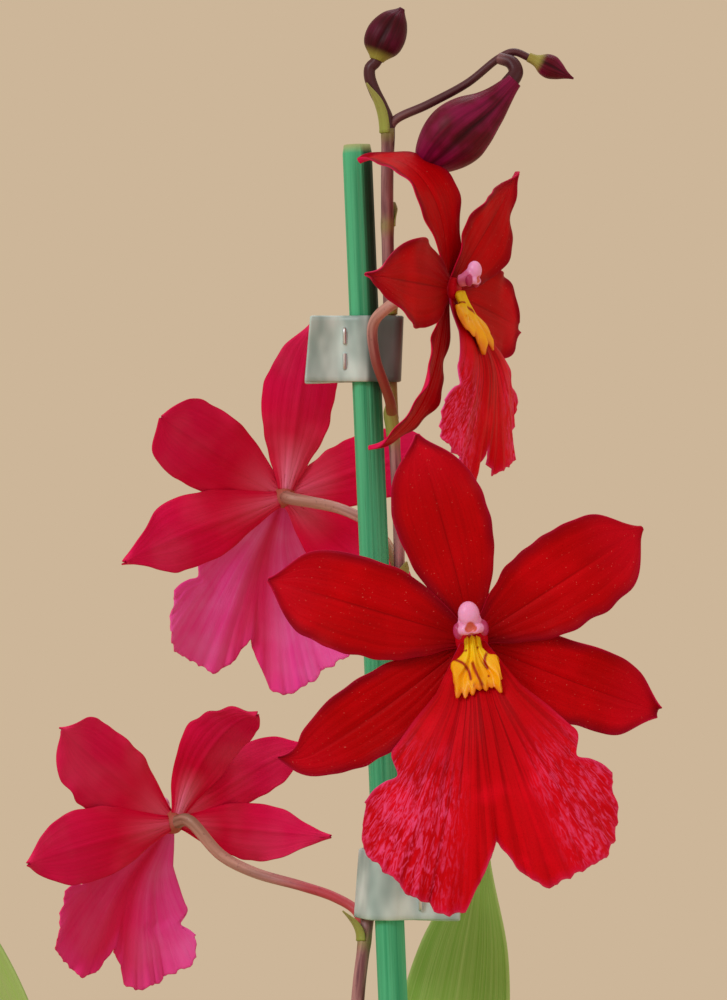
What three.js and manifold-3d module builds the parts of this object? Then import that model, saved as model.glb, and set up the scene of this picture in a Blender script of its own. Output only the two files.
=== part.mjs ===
// A potted orchid in bloom, in millimetres, with +Z up.
// The origin is the centre of the pot's underside. The plant is seen from -Y.
//
// A plain round pot holds bark. A creeping rhizome in the bark carries four flattened bulbs,
// each with strap leaves at its tip. One flower stem rises from the foot of the newest bulb and
// leans on a green stake, held by two stapled ties. It carries four blooms and three buds.
import * as THREE from "three";
import { mergeVertices } from "three/addons/utils/BufferGeometryUtils.js";
import Module from "manifold-3d";

const wasm = await Module();
wasm.setup();

// Driving dimensions
const GAP = 0.3; // left between two pieces that touch
const BLADE = 0.8; // thickness of petals and leaves

const POT = {
  height: 112,
  rimRadius: 62,
  footRadius: 44,
  wall: 1.8,
  floor: 3,
  bandHeight: 15,
  bandStep: 2.2,
  holeRadius: 4,
  holeCircle: 27,
  holes: 6,
  sides: 30,
};
const BARK = { top: 98, chips: 20, chipSize: [20, 13, 6] };
const STAKE = { radius: 2.4, foot: [11.1, 0, 14], head: [-7.2, 0, 447.4] };
const TIE = { height: 11, ply: 0.6 };
const STAPLE = { wire: 0.35, height: 6.6, leg: 2.5 };

// Small helpers
const vec = (a) => new THREE.Vector3(...a);
const rad = THREE.MathUtils.degToRad;
const mix = THREE.MathUtils.lerp;
const clamp = THREE.MathUtils.clamp;

// A repeatable random number from 0 to 1
function seeded(seed) {
  let state = seed;
  return () => {
    state = (state * 16807) % 2147483647;
    return state / 2147483647;
  };
}

// The value at t, from 0 to 1, of a smooth line through evenly spaced heights
function profile(heights, t) {
  const last = heights.length - 1;
  const x = clamp(t, 0, 1) * last;
  const i = Math.min(Math.floor(x), last - 1);
  const f = x - i;
  const h = (k) => heights[clamp(k, 0, last)];
  const rise = (k) => (h(k + 1) - h(k - 1)) / 2;
  const f2 = f * f;
  const f3 = f2 * f;
  const start = (2 * f3 - 3 * f2 + 1) * h(i) + (f3 - 2 * f2 + f) * rise(i);
  return start + (3 * f2 - 2 * f3) * h(i + 1) + (f3 - f2) * rise(i + 1);
}

// A closed geometry as a solid that can be joined and cut
function solidOf(geometry) {
  const loose = geometry.index ? geometry.toNonIndexed() : geometry.clone();
  loose.deleteAttribute("normal");
  loose.deleteAttribute("uv");
  const merged = mergeVertices(loose, 1e-4);
  const vertProperties = merged.attributes.position.array;
  const triVerts = new Uint32Array(merged.index.array);
  return new wasm.Manifold(new wasm.Mesh({ numProp: 3, vertProperties, triVerts }));
}

// The main body of solids joined together, without slivers where their faces graze
function joined(solids) {
  const whole = solids.reduce((body, piece) => body.add(piece));
  return whole.decompose().reduce((most, part) => (part.volume() > most.volume() ? part : most));
}

// A named mesh of a solid
function meshOf(name, solid, material) {
  const { vertProperties, triVerts } = solid.getMesh();
  const geometry = new THREE.BufferGeometry();
  geometry.setAttribute("position", new THREE.BufferAttribute(vertProperties, 3));
  geometry.setIndex(new THREE.BufferAttribute(triVerts, 1));
  geometry.computeVertexNormals();
  const mesh = new THREE.Mesh(geometry, material);
  mesh.name = name;
  return mesh;
}

// The direction square to a surface at(s, t), by small steps on it
function normalAt(at, s, t) {
  const step = 1e-3;
  const across = at(s + step, t).sub(at(s - step, t));
  const along = at(s, Math.min(t + step, 1)).sub(at(s, Math.max(t - step, 0)));
  return across.cross(along).normalize();
}

// A closed blade on the surface at(s, t), with s from -1 to 1 across and t from 0 to 1 along.
// Its two faces are the same grid of triangles, half a thickness off along square, and a rim
// joins them.
function blade(columns, rows, at, thickness = () => BLADE, square = (s, t) => normalAt(at, s, t)) {
  const points = [];
  const wide = columns + 1;
  for (const side of [0.5, -0.5]) {
    for (let j = 0; j <= rows; j++) {
      for (let i = 0; i <= columns; i++) {
        const s = (2 * i) / columns - 1;
        const t = j / rows;
        points.push(...at(s, t).addScaledVector(square(s, t), side * thickness(s, t)));
      }
    }
  }
  const back = wide * (rows + 1);
  const faces = [];
  for (let j = 0; j < rows; j++) {
    for (let i = 0; i < columns; i++) {
      const a = j * wide + i;
      const [b, c, d] = [a + 1, a + wide + 1, a + wide];
      faces.push(a, b, c, a, c, d);
      faces.push(back + a, back + c, back + b, back + a, back + d, back + c);
    }
  }
  const rim = [];
  for (let i = 0; i < columns; i++) rim.push(i);
  for (let j = 0; j < rows; j++) rim.push(j * wide + columns);
  for (let i = columns; i > 0; i--) rim.push(rows * wide + i);
  for (let j = rows; j > 0; j--) rim.push(j * wide);
  rim.forEach((p, k) => {
    const q = rim[(k + 1) % rim.length];
    faces.push(q, p, back + p, q, back + p, back + q);
  });
  const geometry = new THREE.BufferGeometry();
  geometry.setAttribute("position", new THREE.Float32BufferAttribute(points, 3));
  geometry.setIndex(faces);
  return solidOf(geometry);
}

// A smooth curve through points
const curveOf = (points) => new THREE.CatmullRomCurve3(points.map(vec), false, "centripetal");

// A closed tube along a curve. radiusAt(t, turn) is its radius at t from 0 to 1 and angle turn.
function tube(curve, radiusAt, sides, steps, firstSide = null) {
  const frames = curve.computeFrenetFrames(steps);
  const geometry = new THREE.CylinderGeometry(1, 1, 1, sides, steps);
  const place = geometry.attributes.position;
  for (let k = 0; k < place.count; k++) {
    const row = Math.round((0.5 - place.getY(k)) * steps);
    const t = row / steps;
    const [x, z] = [place.getX(k), place.getZ(k)];
    const ahead = frames.tangents[row];
    let [one, other] = [frames.normals[row], frames.binormals[row]];
    if (firstSide) {
      other = ahead.clone().cross(firstSide).normalize();
      one = other.clone().cross(ahead);
    }
    const radius = x || z ? radiusAt(t, Math.atan2(z, x)) : 0;
    const at = curve.getPointAt(t);
    at.addScaledVector(one, x * radius);
    at.addScaledVector(other, z * radius);
    place.setXYZ(k, at.x, at.y, at.z);
  }
  return solidOf(geometry);
}

// Materials
const paint = (color, roughness) => new THREE.MeshStandardMaterial({ color, roughness });
const POT_GREY = paint(0xb9b3a6, 0.7);
const BARK_BROWN = paint(0x5d3a22, 0.95);
const ROOT_GREY = paint(0xa9a894, 0.9);
const BULB_GREEN = paint(0x7c9a45, 0.5);
const LEAF_GREEN = paint(0x5f8f35, 0.45);
const STEM_PURPLE = paint(0x7d5560, 0.5);
const BUD_PURPLE = paint(0x5f1030, 0.45);
const PETAL_RED = paint(0xb80512, 0.6);
const LIP_RED = paint(0xcc1030, 0.6);
const CREST_YELLOW = paint(0xf5ab10, 0.45);
const COLUMN_PINK = paint(0xe9a3cf, 0.4);
const STAKE_GREEN = paint(0x2f9b66, 0.6);
const TIE_GREY = paint(0x9fac9f, 0.4);
const WIRE = new THREE.MeshStandardMaterial({ color: 0xc4c8cc, roughness: 0.3, metalness: 1 });

// The pot: a plain turned shell with a stepped rim band and drain holes round a solid centre
function pot() {
  const wallAt = (z) => mix(POT.footRadius, POT.rimRadius - POT.bandStep, z / POT.height);
  const bandFoot = POT.height - POT.bandHeight;
  const profilePoints = [
    [0, 0],
    [POT.footRadius - 2, 0],
    [POT.footRadius, 2],
    [wallAt(bandFoot), bandFoot],
    [wallAt(bandFoot) + POT.bandStep, bandFoot + 1.5],
    [POT.rimRadius, POT.height - 1],
    [POT.rimRadius - 1, POT.height],
    [wallAt(POT.height) - POT.wall + 0.4, POT.height],
    [wallAt(POT.height - 2) - POT.wall, POT.height - 2],
    [wallAt(POT.floor) - POT.wall, POT.floor],
    [0, POT.floor],
  ];
  const shell = new THREE.LatheGeometry(
    profilePoints.map(([r, z]) => new THREE.Vector2(r, z)),
    POT.sides,
  ).rotateX(Math.PI / 2);
  let solid = solidOf(shell);
  for (let k = 0; k < POT.holes; k++) {
    const turn = (2 * Math.PI * k) / POT.holes;
    const hole = new THREE.CylinderGeometry(POT.holeRadius, POT.holeRadius, 4 * POT.floor, 10);
    hole.rotateX(Math.PI / 2);
    hole.translate(POT.holeCircle * Math.cos(turn), POT.holeCircle * Math.sin(turn), 0);
    solid = solid.subtract(solidOf(hole));
  }
  return solid;
}

// The stake: a straight split cane with flattened sides
function stake(extra = 0) {
  const flute = (turn) => 1 + 0.05 * Math.cos(3 * turn);
  const line = new THREE.LineCurve3(vec(STAKE.foot), vec(STAKE.head));
  return tube(line, (t, turn) => STAKE.radius * flute(turn) + extra, 12, 1);
}

const stakeAt = (z) => {
  const share = (z - STAKE.foot[2]) / (STAKE.head[2] - STAKE.foot[2]);
  return vec(STAKE.foot).lerp(vec(STAKE.head), share);
};

// The bulbs: flattened, ribbed and narrowed to the tip. turn is the way of the wide side.
const BULBS = [
  { name: "bulb_1", foot: [-27, -11, 94], tip: [-29, -13, 170], wide: 17, thick: 10.5, turn: 12 },
  { name: "bulb_2", foot: [3, 20, 94], tip: [4, 20, 166], wide: 16, thick: 10, turn: -25 },
  { name: "bulb_3", foot: [30, -4, 94], tip: [34, -6, 158], wide: 15, thick: 9.5, turn: 70 },
  { name: "bulb_4", foot: [-24, 27, 94], tip: [-27, 30, 146], wide: 13.5, thick: 8.5, turn: 40 },
];
const BULB_SHAPE = [0.5, 0.84, 1, 0.96, 0.8, 0.6, 0.4, 0.26];

function bulb({ foot, tip, wide, thick, turn }, extra = 0) {
  const line = new THREE.LineCurve3(vec(foot), vec(tip));
  const side = vec([Math.cos(rad(turn)), Math.sin(rad(turn)), 0]);
  const radiusAt = (t, angle) => {
    const oval = 1 / Math.hypot(Math.cos(angle) / wide, Math.sin(angle) / thick);
    const ribs = 1 + 0.03 * Math.cos(7 * angle);
    return oval * ribs * profile(BULB_SHAPE, t) + extra;
  };
  return tube(line, radiusAt, 12, 8, side);
}

// The rhizome with its roots: one creeping body, deepest between the bulbs
const RHIZOME = {
  radius: 4,
  path: [
    [-30, 33, 90],
    [-24, 25, 90],
    [-8, 24, 89],
    [6, 18, 90],
    [20, 5, 89],
    [28, -5, 90],
    [8, -17, 88],
    [-16, -12, 90],
    [-27, -9, 90],
  ],
};
const ROOTS = [
  [[-27, -9, 90], [-36, -10, 96], [-42, -14, 100.5], [-45, -21, 99], [-43, -26, 92], [-40, -29, 84]],
  [[8, -17, 88], [12, -26, 96], [16, -33, 101.5], [22, -39, 101], [27, -41, 94], [30, -40, 85]],
  [[28, -5, 90], [37, -12, 97], [43, -14, 101.5], [48, -9, 100], [49, -1, 93], [48, 5, 85]],
  [[6, 18, 90], [12, 27, 97], [18, 35, 101.5], [25, 40, 99], [31, 39, 91], [34, 36, 84]],
  [[-30, 33, 90], [-37, 26, 97], [-43, 18, 101], [-48, 9, 99], [-49, 1, 91], [-48, -4, 84]],
];

function rhizome(extra = 0) {
  const taper = (t) => RHIZOME.radius * profile([0.3, 1, 1, 1, 1, 0.3], t) + extra;
  const root = (points) => tube(curveOf(points), (t) => mix(1.9, 0.1, t ** 4) + extra, 5, 9);
  return joined([tube(curveOf(RHIZOME.path), taper, 6, 12), ...ROOTS.map(root)]);
}

// A strap leaf on a bent line from its base over a control point to its tip.
// It is folded at the base, opens to its full width and ends in a point.
const LEAF_SHAPE = [0.22, 0.42, 0.72, 0.92, 1, 0.98, 0.86, 0.62, 0.03];
const SHEATH_SHAPE = [0.7, 0.85, 0.95, 1, 0.98, 0.9, 0.75, 0.5, 0.03];
const LEAVES = [
  { name: "leaf_1", line: [[-31.3, -13.6, 170.8], [-46, -22, 272], [-79, -40, 343]], width: 27 },
  { name: "leaf_2", line: [[-26.7, -12.4, 170.8], [-4, -36, 275], [62, -80, 262]], width: 26 },
  {
    name: "leaf_3",
    line: [[6.2, 19, 166.8], [-1, 26, 255], [14.6, 17, 333]],
    width: 24,
    faces: [0, -1, 0.2],
  },
  { name: "leaf_4", line: [[1.6, 21, 166.8], [-20, 46, 290], [-84, 92, 262]], width: 27 },
  { name: "leaf_5", line: [[35, -9, 158.8], [62, -18, 262], [128, -32, 236]], width: 26 },
  { name: "leaf_6", line: [[33.2, -2.6, 158.8], [46, 30, 262], [92, 90, 248]], width: 25 },
  { name: "leaf_7", line: [[-27.4, 30.4, 146.8], [-50, 56, 236], [-112, 84, 196]], width: 24 },
  {
    name: "leaf_8",
    line: [[-36, -28, 94], [-52, -46, 186], [-106, -84, 206]],
    width: 22,
    shape: SHEATH_SHAPE,
  },
  {
    name: "leaf_9",
    line: [[-8, -34, 94], [0, -54, 178], [36, -114, 176]],
    width: 21,
    shape: SHEATH_SHAPE,
  },
];

function leaf({ line, width, faces = [0, 0, 1], shape = LEAF_SHAPE }, extra = 0) {
  const curve = new THREE.QuadraticBezierCurve3(...line.map(vec));
  const at = (s, t) => {
    const ahead = curve.getTangent(t);
    const side = ahead.clone().cross(vec(faces)).normalize();
    const up = side.clone().cross(ahead);
    const half = (width / 2) * profile(shape, t) + extra;
    const fold = rad(mix(45, 10, Math.min(1, t * 2.2)));
    const point = curve.getPoint(t);
    point.addScaledVector(side, s * half * Math.cos(fold));
    return point.addScaledVector(up, Math.abs(s) * half * Math.sin(fold));
  };
  return blade(4, 9, at, () => BLADE + 0.2 + 2 * extra);
}

// The room a leaf takes where it stands in the bark
function leafHole(row) {
  const wide = leaf(row, GAP);
  return wide.add(wide.translate([0, 0, -2 * GAP]));
}

// The flower stem, from the foot of the newest bulb to its forked tip
const STEM_PATH = [
  [-5, -19.5, 93.2],
  [-4.6, -18.6, 104],
  [-5, -15, 140],
  [-7, -7, 190],
  [-8.6, 0, 250],
  [-7, 1, 306],
  [-6, 2, 315],
  [-5, 3.7, 322],
  [-3.5, 5.9, 335],
  [-1.1, 5, 350],
  [-0.2, 2.5, 363],
  [-0.1, 1, 378],
  [-0.4, 0, 389],
  [-1.3, -1, 405],
  [-1.8, -1, 422],
  [-2.1, -1, 438],
  [-2, -1, 450],
];
const STEM_RADIUS = [2.6, 2.1, 1.5, 1.1, 0.92, 1.05];

// Side branches of the stem: their lines, and the radius at each end
const BRANCHES = [
  // Stalk of the top bud
  {
    line: [[-2, -1, 444], [-1.9, -1, 451], [-2.9, -1, 453.6], [-4.2, -1, 456.2], [-5, -1, 458.6],
      [-4.9, -1, 460], [-4.1, -1, 460.8]],
    from: 0.95,
    to: 0.95,
  },
  // Forked tip with its two buds
  {
    line: [[-2, -1, 449], [-1, -1, 451.2], [4.6, -1.6, 453.9], [11.1, -2, 457.4], [16.2, -2.4, 461.4],
      [18.6, -2.6, 462.4], [21.4, -2.8, 461.3]],
    from: 0.75,
    to: 0.6,
  },
  { line: [[16.2, -2.4, 461.4], [18.2, -3.4, 460.6], [18.9, -4.2, 458.9]], from: 0.85, to: 1.1 },
];

// Each bud: a bent spindle from its base to its tip
const BUDS = [
  {
    name: "bud_top",
    line: [[-3.8, -1, 461.2], [-2.8, -1, 463.8], [-1.2, -1, 467], [0.4, -1, 469.7]],
    shape: [0.36, 0.86, 1, 0.92, 0.64, 0.14],
    radius: 3.3,
  },
  {
    name: "bud_large",
    line: [[18.6, -4.8, 457.6], [14.6, -4.6, 453.4], [9.9, -4.2, 449.7], [5.3, -3.6, 445.3],
      [2.8, -3.2, 442.4]],
    shape: [0.26, 0.4, 0.62, 0.88, 1, 0.9, 0.6, 0.1],
    radius: 5.3,
  },
  {
    name: "bud_small",
    line: [[21.9, -2.9, 461.2], [24.2, -2.9, 460], [26.6, -2.9, 458.8], [28.4, -2.9, 458]],
    shape: [0.5, 0.95, 1, 0.72, 0.34, 0.1],
    radius: 1.95,
  },
];

function bud({ line, shape, radius }) {
  const ribs = (turn) => 1 + 0.05 * Math.cos(3 * turn);
  return tube(curveOf(line), (t, turn) => radius * profile(shape, t) * ribs(turn), 9, 8);
}

// The petals' outlines, as shares of the half width from base to tip, with the left side first
const OUTLINES = {
  sepal: [[0.22, 0.54, 0.86, 1, 0.97, 0.68, 0.04], [0.22, 0.54, 0.86, 1, 0.97, 0.68, 0.04]],
  petal: [[0.22, 0.6, 0.92, 1, 0.98, 0.76, 0.04], [0.22, 0.6, 0.9, 1, 1, 0.78, 0.04]],
  narrow: [[0.22, 0.56, 0.88, 1, 0.94, 0.62, 0.04], [0.22, 0.56, 0.88, 1, 0.94, 0.62, 0.04]],
  pointed: [[0.22, 0.56, 0.88, 1, 0.9, 0.42, 0.04], [0.22, 0.56, 0.88, 1, 0.9, 0.42, 0.04]],
};
const HEART_RADIUS = 2.6;
const HEART_TOP = 1.3;

// A petal or sepal that leaves the bloom's centre at an angle, clockwise from straight up.
// lift is its slope to the front at the base, curl how far it turns from there to its tip,
// sweep how far it bends clockwise, twist how far it turns about its own rib, all in degrees.
// A greater bend keeps the curl to the end. cup raises its edges, and wave ruffles them.
function petalSurface(petal) {
  const { angle, length, width, outline, lift = 6, curl = -25, set = 0 } = petal;
  const { bend = 1.5, sweep = 0, twist = 0, cup = 0.12, wave = 0.5, waves = 2.3, phase = 0 } = petal;
  const out = vec([Math.sin(rad(angle)), Math.cos(rad(angle)), 0]);
  const clockwise = vec([Math.cos(rad(angle)), -Math.sin(rad(angle)), 0]);
  const front = vec([0, 0, 1]);
  const heading = (t) => {
    const slope = rad(lift + curl * t ** bend);
    const turn = rad(sweep * t);
    return out
      .clone()
      .multiplyScalar(Math.cos(slope) * Math.cos(turn))
      .addScaledVector(clockwise, Math.cos(slope) * Math.sin(turn))
      .addScaledVector(front, Math.sin(slope));
  };
  const steps = 48;
  const rib = [out.clone().multiplyScalar(1.2).addScaledVector(front, set)];
  for (let k = 0; k < steps; k++) {
    const middle = (k + 0.5) / steps;
    rib.push(rib[k].clone().addScaledVector(heading(middle), length / steps));
  }
  const ribAt = (t) => {
    const x = clamp(t, 0, 1) * steps;
    const k = Math.min(Math.floor(x), steps - 1);
    return rib[k].clone().lerp(rib[k + 1], x - k);
  };
  return (s, t) => {
    const ahead = heading(t);
    const flat = clockwise.clone().addScaledVector(ahead, -clockwise.dot(ahead)).normalize();
    const face = flat.clone().cross(ahead);
    const side = flat.clone().applyAxisAngle(ahead, rad(twist * t));
    const up = face.clone().applyAxisAngle(ahead, rad(twist * t));
    const half = (width / 2) * profile(OUTLINES[outline][s < 0 ? 0 : 1], t);
    const ruffle = wave * Math.abs(s) ** 3 * Math.sin(2 * Math.PI * waves * t + phase * Math.sign(s));
    const point = ribAt(t).addScaledVector(side, s * half);
    return point.addScaledVector(up, cup * half * s * s + ruffle * Math.min(1, 3 * t));
  };
}

// The lip: a fan that starts under the column, bends down and spreads into two ragged lobes.
// Seen from the front, its outline is a rim radius from the middle out to each side, and a half
// spread in degrees from the root out, with the notch between side lobe and main lobe.
// LIP_SLOPE is how far it heads to the front, in degrees, from its root to its end.
const LIP_RIM = {
  left: [30, 36.3, 42, 41.3, 39.2, 37.6, 36.5, 34.4, 29.2],
  right: [30, 34.5, 38.2, 38.2, 37.7, 38.3, 35.8, 32.7, 28.5],
};
const LIP_SPREAD = [47, 47, 47, 47, 47, 47, 47, 46.8, 46.3, 45.8, 45, 38, 40.5, 42, 42, 42, 42, 42, 42];
const LIP_SLOPE = [28, 36, 32, 16, 2, -2, -4, -5, -6, -6];
const LIP_REACH = 42;
const LIP_CLAW = { half: 1.9, back: 1.1, length: 9 };

function lipSurface({ size = 1, angle = 180, reflex = 0.2 } = {}) {
  const down = vec([Math.sin(rad(angle)), Math.cos(rad(angle)), 0]);
  const side = vec([Math.cos(rad(angle)), -Math.sin(rad(angle)), 0]);
  const steps = 80;
  const rises = [0];
  for (let k = 0; k < steps; k++) {
    const slope = rad(profile(LIP_SLOPE, (k + 0.5) / steps));
    rises.push(rises[k] + (Math.tan(slope) * LIP_REACH) / steps);
  }
  const riseAt = (fall) => {
    const x = clamp(fall / LIP_REACH, 0, 1) * steps;
    const k = Math.min(Math.floor(x), steps - 1);
    return mix(rises[k], rises[k + 1], x - k);
  };
  return (s, t) => {
    const radius = t * profile(s > 0 ? LIP_RIM.left : LIP_RIM.right, Math.abs(s));
    const spread = rad(s * profile(LIP_SPREAD, radius / 37));
    const claw = Math.max(0, 1 - radius / LIP_CLAW.length);
    const across = radius * Math.sin(spread) + s * LIP_CLAW.half * claw;
    const fall = radius * Math.cos(spread) - LIP_CLAW.back * claw;
    const pleats = 0.45 * Math.cos(9 * s) * Math.sin(Math.PI * Math.min(1, t * 1.1));
    const parting = -1.6 * Math.exp(-((s / 0.12) ** 2)) * t ** 3;
    const ruffle = 1.1 * t ** 4 * Math.sin(11 * s + 1);
    const bend = (-reflex * across * across) / 12;
    const point = down.clone().multiplyScalar(fall * size);
    point.addScaledVector(side, across * size);
    point.z += (riseAt(fall + LIP_CLAW.back) + pleats + parting + ruffle + bend) * size;
    return point;
  };
}

// The lip hangs from here in the bloom's own frame
const LIP_AT = vec([0, -1.5, 2.1]);

// The crest: a raised yellow callus that lies on the lip and ends in ragged fingers
const CREST = {
  start: 0.035,
  length: 0.15,
  finger: 0.02,
  clear: 0.35,
  spread: [0.72, 0.6, 0.74, 0.9, 0.8],
  rise: [1.4, 1.2, 1, 1, 0.9],
};

function crest(lip) {
  const ends = (s) => CREST.length + CREST.finger * Math.cos(3 * Math.PI * s);
  const square = (s, t) => normalAt(lip, 0, CREST.start + CREST.length * t);
  const rise = (s, t) => profile(CREST.rise, t) + 0.3 * Math.cos(2 * Math.PI * s);
  const at = (s, t) => {
    const under = BLADE / 2 + GAP + CREST.clear * Math.abs(s);
    const point = lip(s * profile(CREST.spread, t), CREST.start + ends(s) * t);
    return point.addScaledVector(square(s, t), under + rise(s, t) / 2);
  };
  return blade(8, 3, at, rise, square);
}

// The column: a short club over the lip, with a cap, two wings and a hollow under the cap
function column(size) {
  const ball = (radius, sizes, place) =>
    solidOf(new THREE.SphereGeometry(radius, 6, 4).scale(...sizes).translate(...place));
  const foot = (HEART_TOP + GAP) / size;
  const spine = curveOf([[0, 2, foot], [0, 2.1, foot + 1], [0, 2.8, 4.6], [0, 3.4, 5.4]]);
  const club = tube(spine, (t) => mix(1.3, 1.8, t), 6, 3);
  const cap = ball(1.95, [1, 1.15, 0.9], [0, 4.1, 5.8]);
  const wings = [-1, 1].map((side) => ball(1.2, [0.7, 1.2, 0.8], [side * 1.9, 1.7, 5.4]));
  const hollow = ball(1.1, [1.05, 0.8, 1], [0, 1.6, 6.8]);
  return joined([club, cap, ...wings])
    .subtract(hollow)
    .scale([size, size, size]);
}

// The blooms. yaw turns a bloom from facing -Y towards +X, pitch tips its face up and roll
// turns it clockwise in its own face. Each petal row is angle, length, width, then its bends.
const petals = (rows) =>
  ["sepal", "petal", "petal", "narrow", "narrow"].map((outline, k) => ({ outline, ...rows[k] }));

const BLOOMS = [
  {
    name: "bloom_front",
    centre: [11, -32, 367],
    yaw: 0,
    pitch: 0,
    roll: -8,
    petals: petals([
      { angle: -5, length: 32.4, width: 15, lift: 8, curl: -22, set: -0.6, sweep: -4 },
      { angle: -64.5, length: 32.5, width: 15, lift: 8, curl: -28, phase: 1 },
      { angle: 64.8, length: 31.2, width: 15, lift: 8, curl: -24, phase: 2 },
      { angle: -122, length: 35.5, width: 12.2, lift: 4, curl: -18, set: -0.6, sweep: 12 },
      { angle: 121.5, length: 30.6, width: 12.5, lift: 4, curl: -22, set: -0.6, sweep: -5 },
    ]),
    lip: { size: 1, angle: 181.5 },
    stalk: [[-1.1, 5, 350], [3.5, 1, 351.5], [7.6, -8, 356], [10.4, -18, 362]],
  },
  {
    name: "bloom_upper",
    centre: [8, -14, 422.9],
    yaw: 66,
    pitch: 0,
    roll: 0,
    petals: petals([
      { angle: 0, length: 28.5, width: 14, lift: -2, curl: -112, bend: 1.6, set: -0.6, twist: -18 },
      { angle: -93, length: 28, width: 13.2, lift: 6, curl: -14, phase: 1 },
      { angle: 52, length: 28, width: 13.5, lift: 10, curl: -8 },
      { angle: -156, length: 30, width: 10.5, lift: -2, curl: -46, set: -0.6, twist: -25 },
      { angle: 108, length: 26, width: 13.5, lift: 7, curl: -8, set: -0.6 },
    ]),
    lip: { size: 0.82, angle: 180, reflex: 0.16 },
    stalk: [[-1.3, -1, 402.5], [-1.6, -3.6, 405], [-2.6, -5.5, 408], [-4, -7, 412],
      [-4.4, -9, 417.5], [-2, -11, 420.2]],
  },
  {
    name: "bloom_back",
    centre: [-19.4, 21, 389.6],
    yaw: 195,
    pitch: 4,
    roll: -3,
    petals: petals([
      { angle: -4, length: 29, width: 13, lift: 0, curl: -20, set: -0.6 },
      { angle: 63, length: 30, width: 13.5, lift: 0, curl: -58, phase: 1 },
      { angle: -68, length: 27, width: 11.5, lift: 0, curl: -50 },
      { angle: 112, length: 32.5, width: 12, lift: 0, curl: -46, set: -0.6, outline: "pointed" },
      { angle: -128, length: 29, width: 12, lift: 0, curl: -46, set: -0.6 },
    ]),
    lip: { size: 0.8, angle: 175 },
    stalk: [[-0.2, 1, 377], [-1.6, 6, 381], [-5, 10.5, 385], [-10, 14.5, 387.6]],
  },
  {
    name: "bloom_lower",
    centre: [-38.1, 20, 334.6],
    yaw: 215,
    pitch: -6,
    roll: -14,
    petals: petals([
      { angle: -12, length: 26, width: 10.6, lift: 0, curl: -100, set: -0.6 },
      { angle: 70, length: 28, width: 14, lift: 0, curl: -24, phase: 1 },
      { angle: -48, length: 26, width: 9.4, lift: 0, curl: -46 },
      { angle: 114, length: 33, width: 12, lift: 0, curl: -28, set: -0.6 },
      { angle: -85, length: 27, width: 9.6, lift: 0, curl: -56, set: -0.6, outline: "pointed" },
    ]),
    lip: { size: 0.75, angle: 176 },
    stalk: [[-5.7, 2.7, 317.4], [-6.2, 5.4, 318.6], [-7.4, 8, 320.9], [-11, 9.4, 322.9],
      [-16.2, 11, 324.5], [-24.4, 14, 326.6], [-29.9, 15.4, 329.4]],
  },
];

// A bloom's group, turned and placed, with its meshes in the bloom's own frame:
// x to its right as it is looked at, y to its top and z to its front
function bloom({ name, centre, yaw, pitch, roll, petals: rows, lip: lipShape }) {
  const group = new THREE.Group();
  const front = vec([
    Math.sin(rad(yaw)) * Math.cos(rad(pitch)),
    -Math.cos(rad(yaw)) * Math.cos(rad(pitch)),
    Math.sin(rad(pitch)),
  ]);
  const right = vec([0, 0, 1]).cross(front).normalize();
  const top = front.clone().cross(right);
  for (const axis of [right, top]) axis.applyAxisAngle(front, -rad(roll));
  group.quaternion.setFromRotationMatrix(new THREE.Matrix4().makeBasis(right, top, front));
  group.position.set(...centre);

  const heart = solidOf(new THREE.SphereGeometry(HEART_RADIUS, 7, 4).scale(1, 1, 0.75));
  const trim = solidOf(new THREE.BoxGeometry(3.6, 9, 4).translate(0, 1, HEART_TOP + 2));
  const blades = rows.map((row) => blade(4, 6, petalSurface(row)));
  const flower = joined([heart, ...blades]).subtract(trim);

  const raw = lipSurface(lipShape);
  const lip = (s, t) => raw(s, t).add(LIP_AT);
  group.add(
    meshOf(`${name}_petals`, flower, PETAL_RED),
    meshOf(`${name}_lip`, blade(12, 7, lip), LIP_RED),
    meshOf(`${name}_crest`, crest(lip), CREST_YELLOW),
    meshOf(`${name}_column`, column(lipShape.size), COLUMN_PINK),
  );
  group.updateMatrixWorld(true);
  return group;
}

// The stem's place and radius at a height
function stemAt(stemLine, level) {
  let [low, high] = [0, 1];
  for (let k = 0; k < 24; k++) {
    const middle = (low + high) / 2;
    if (stemLine.getPointAt(middle).z < level) low = middle;
    else high = middle;
  }
  const { x, y } = stemLine.getPointAt(low);
  return { share: low, x, y, radius: profile(STEM_RADIUS, low) };
}

// The bracts: small pointed scales that clasp the stem at its nodes. turn is their side, and out
// is how far the tip leans from the stem.
const BRACTS = [
  { level: 449.3, turn: 200, length: 8, out: 2.6 },
  { level: 434, turn: 60, length: 4 },
  { level: 419.5, turn: 330, length: 4 },
  { level: 399.5, turn: 250, length: 5.5 },
  { level: 374, turn: 300, length: 5 },
  { level: 346.5, turn: 330, length: 5 },
  { level: 316.2, turn: 190, length: 4.2, out: 3 },
  { level: 240, turn: 60, length: 10 },
  { level: 160, turn: 240, length: 14 },
];

function bract(line, { level, turn, length, out = 1.2 }) {
  const t = stemAt(line, level).share;
  const foot = line.getPointAt(t);
  const ahead = line.getTangentAt(t);
  const side = vec([Math.cos(rad(turn)), Math.sin(rad(turn)), 0]);
  const across = ahead.clone().cross(side).normalize();
  const lean = profile(STEM_RADIUS, t);
  const at = (s, share) => {
    const half = 1.4 * profile([1, 0.9, 0.15], share);
    const point = foot.clone().addScaledVector(ahead, length * share);
    point.addScaledVector(side, lean * mix(0.2, 1, share) + out * share - 0.3 * s * s);
    return point.addScaledVector(across, -s * half);
  };
  return blade(2, 2, at);
}

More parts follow.
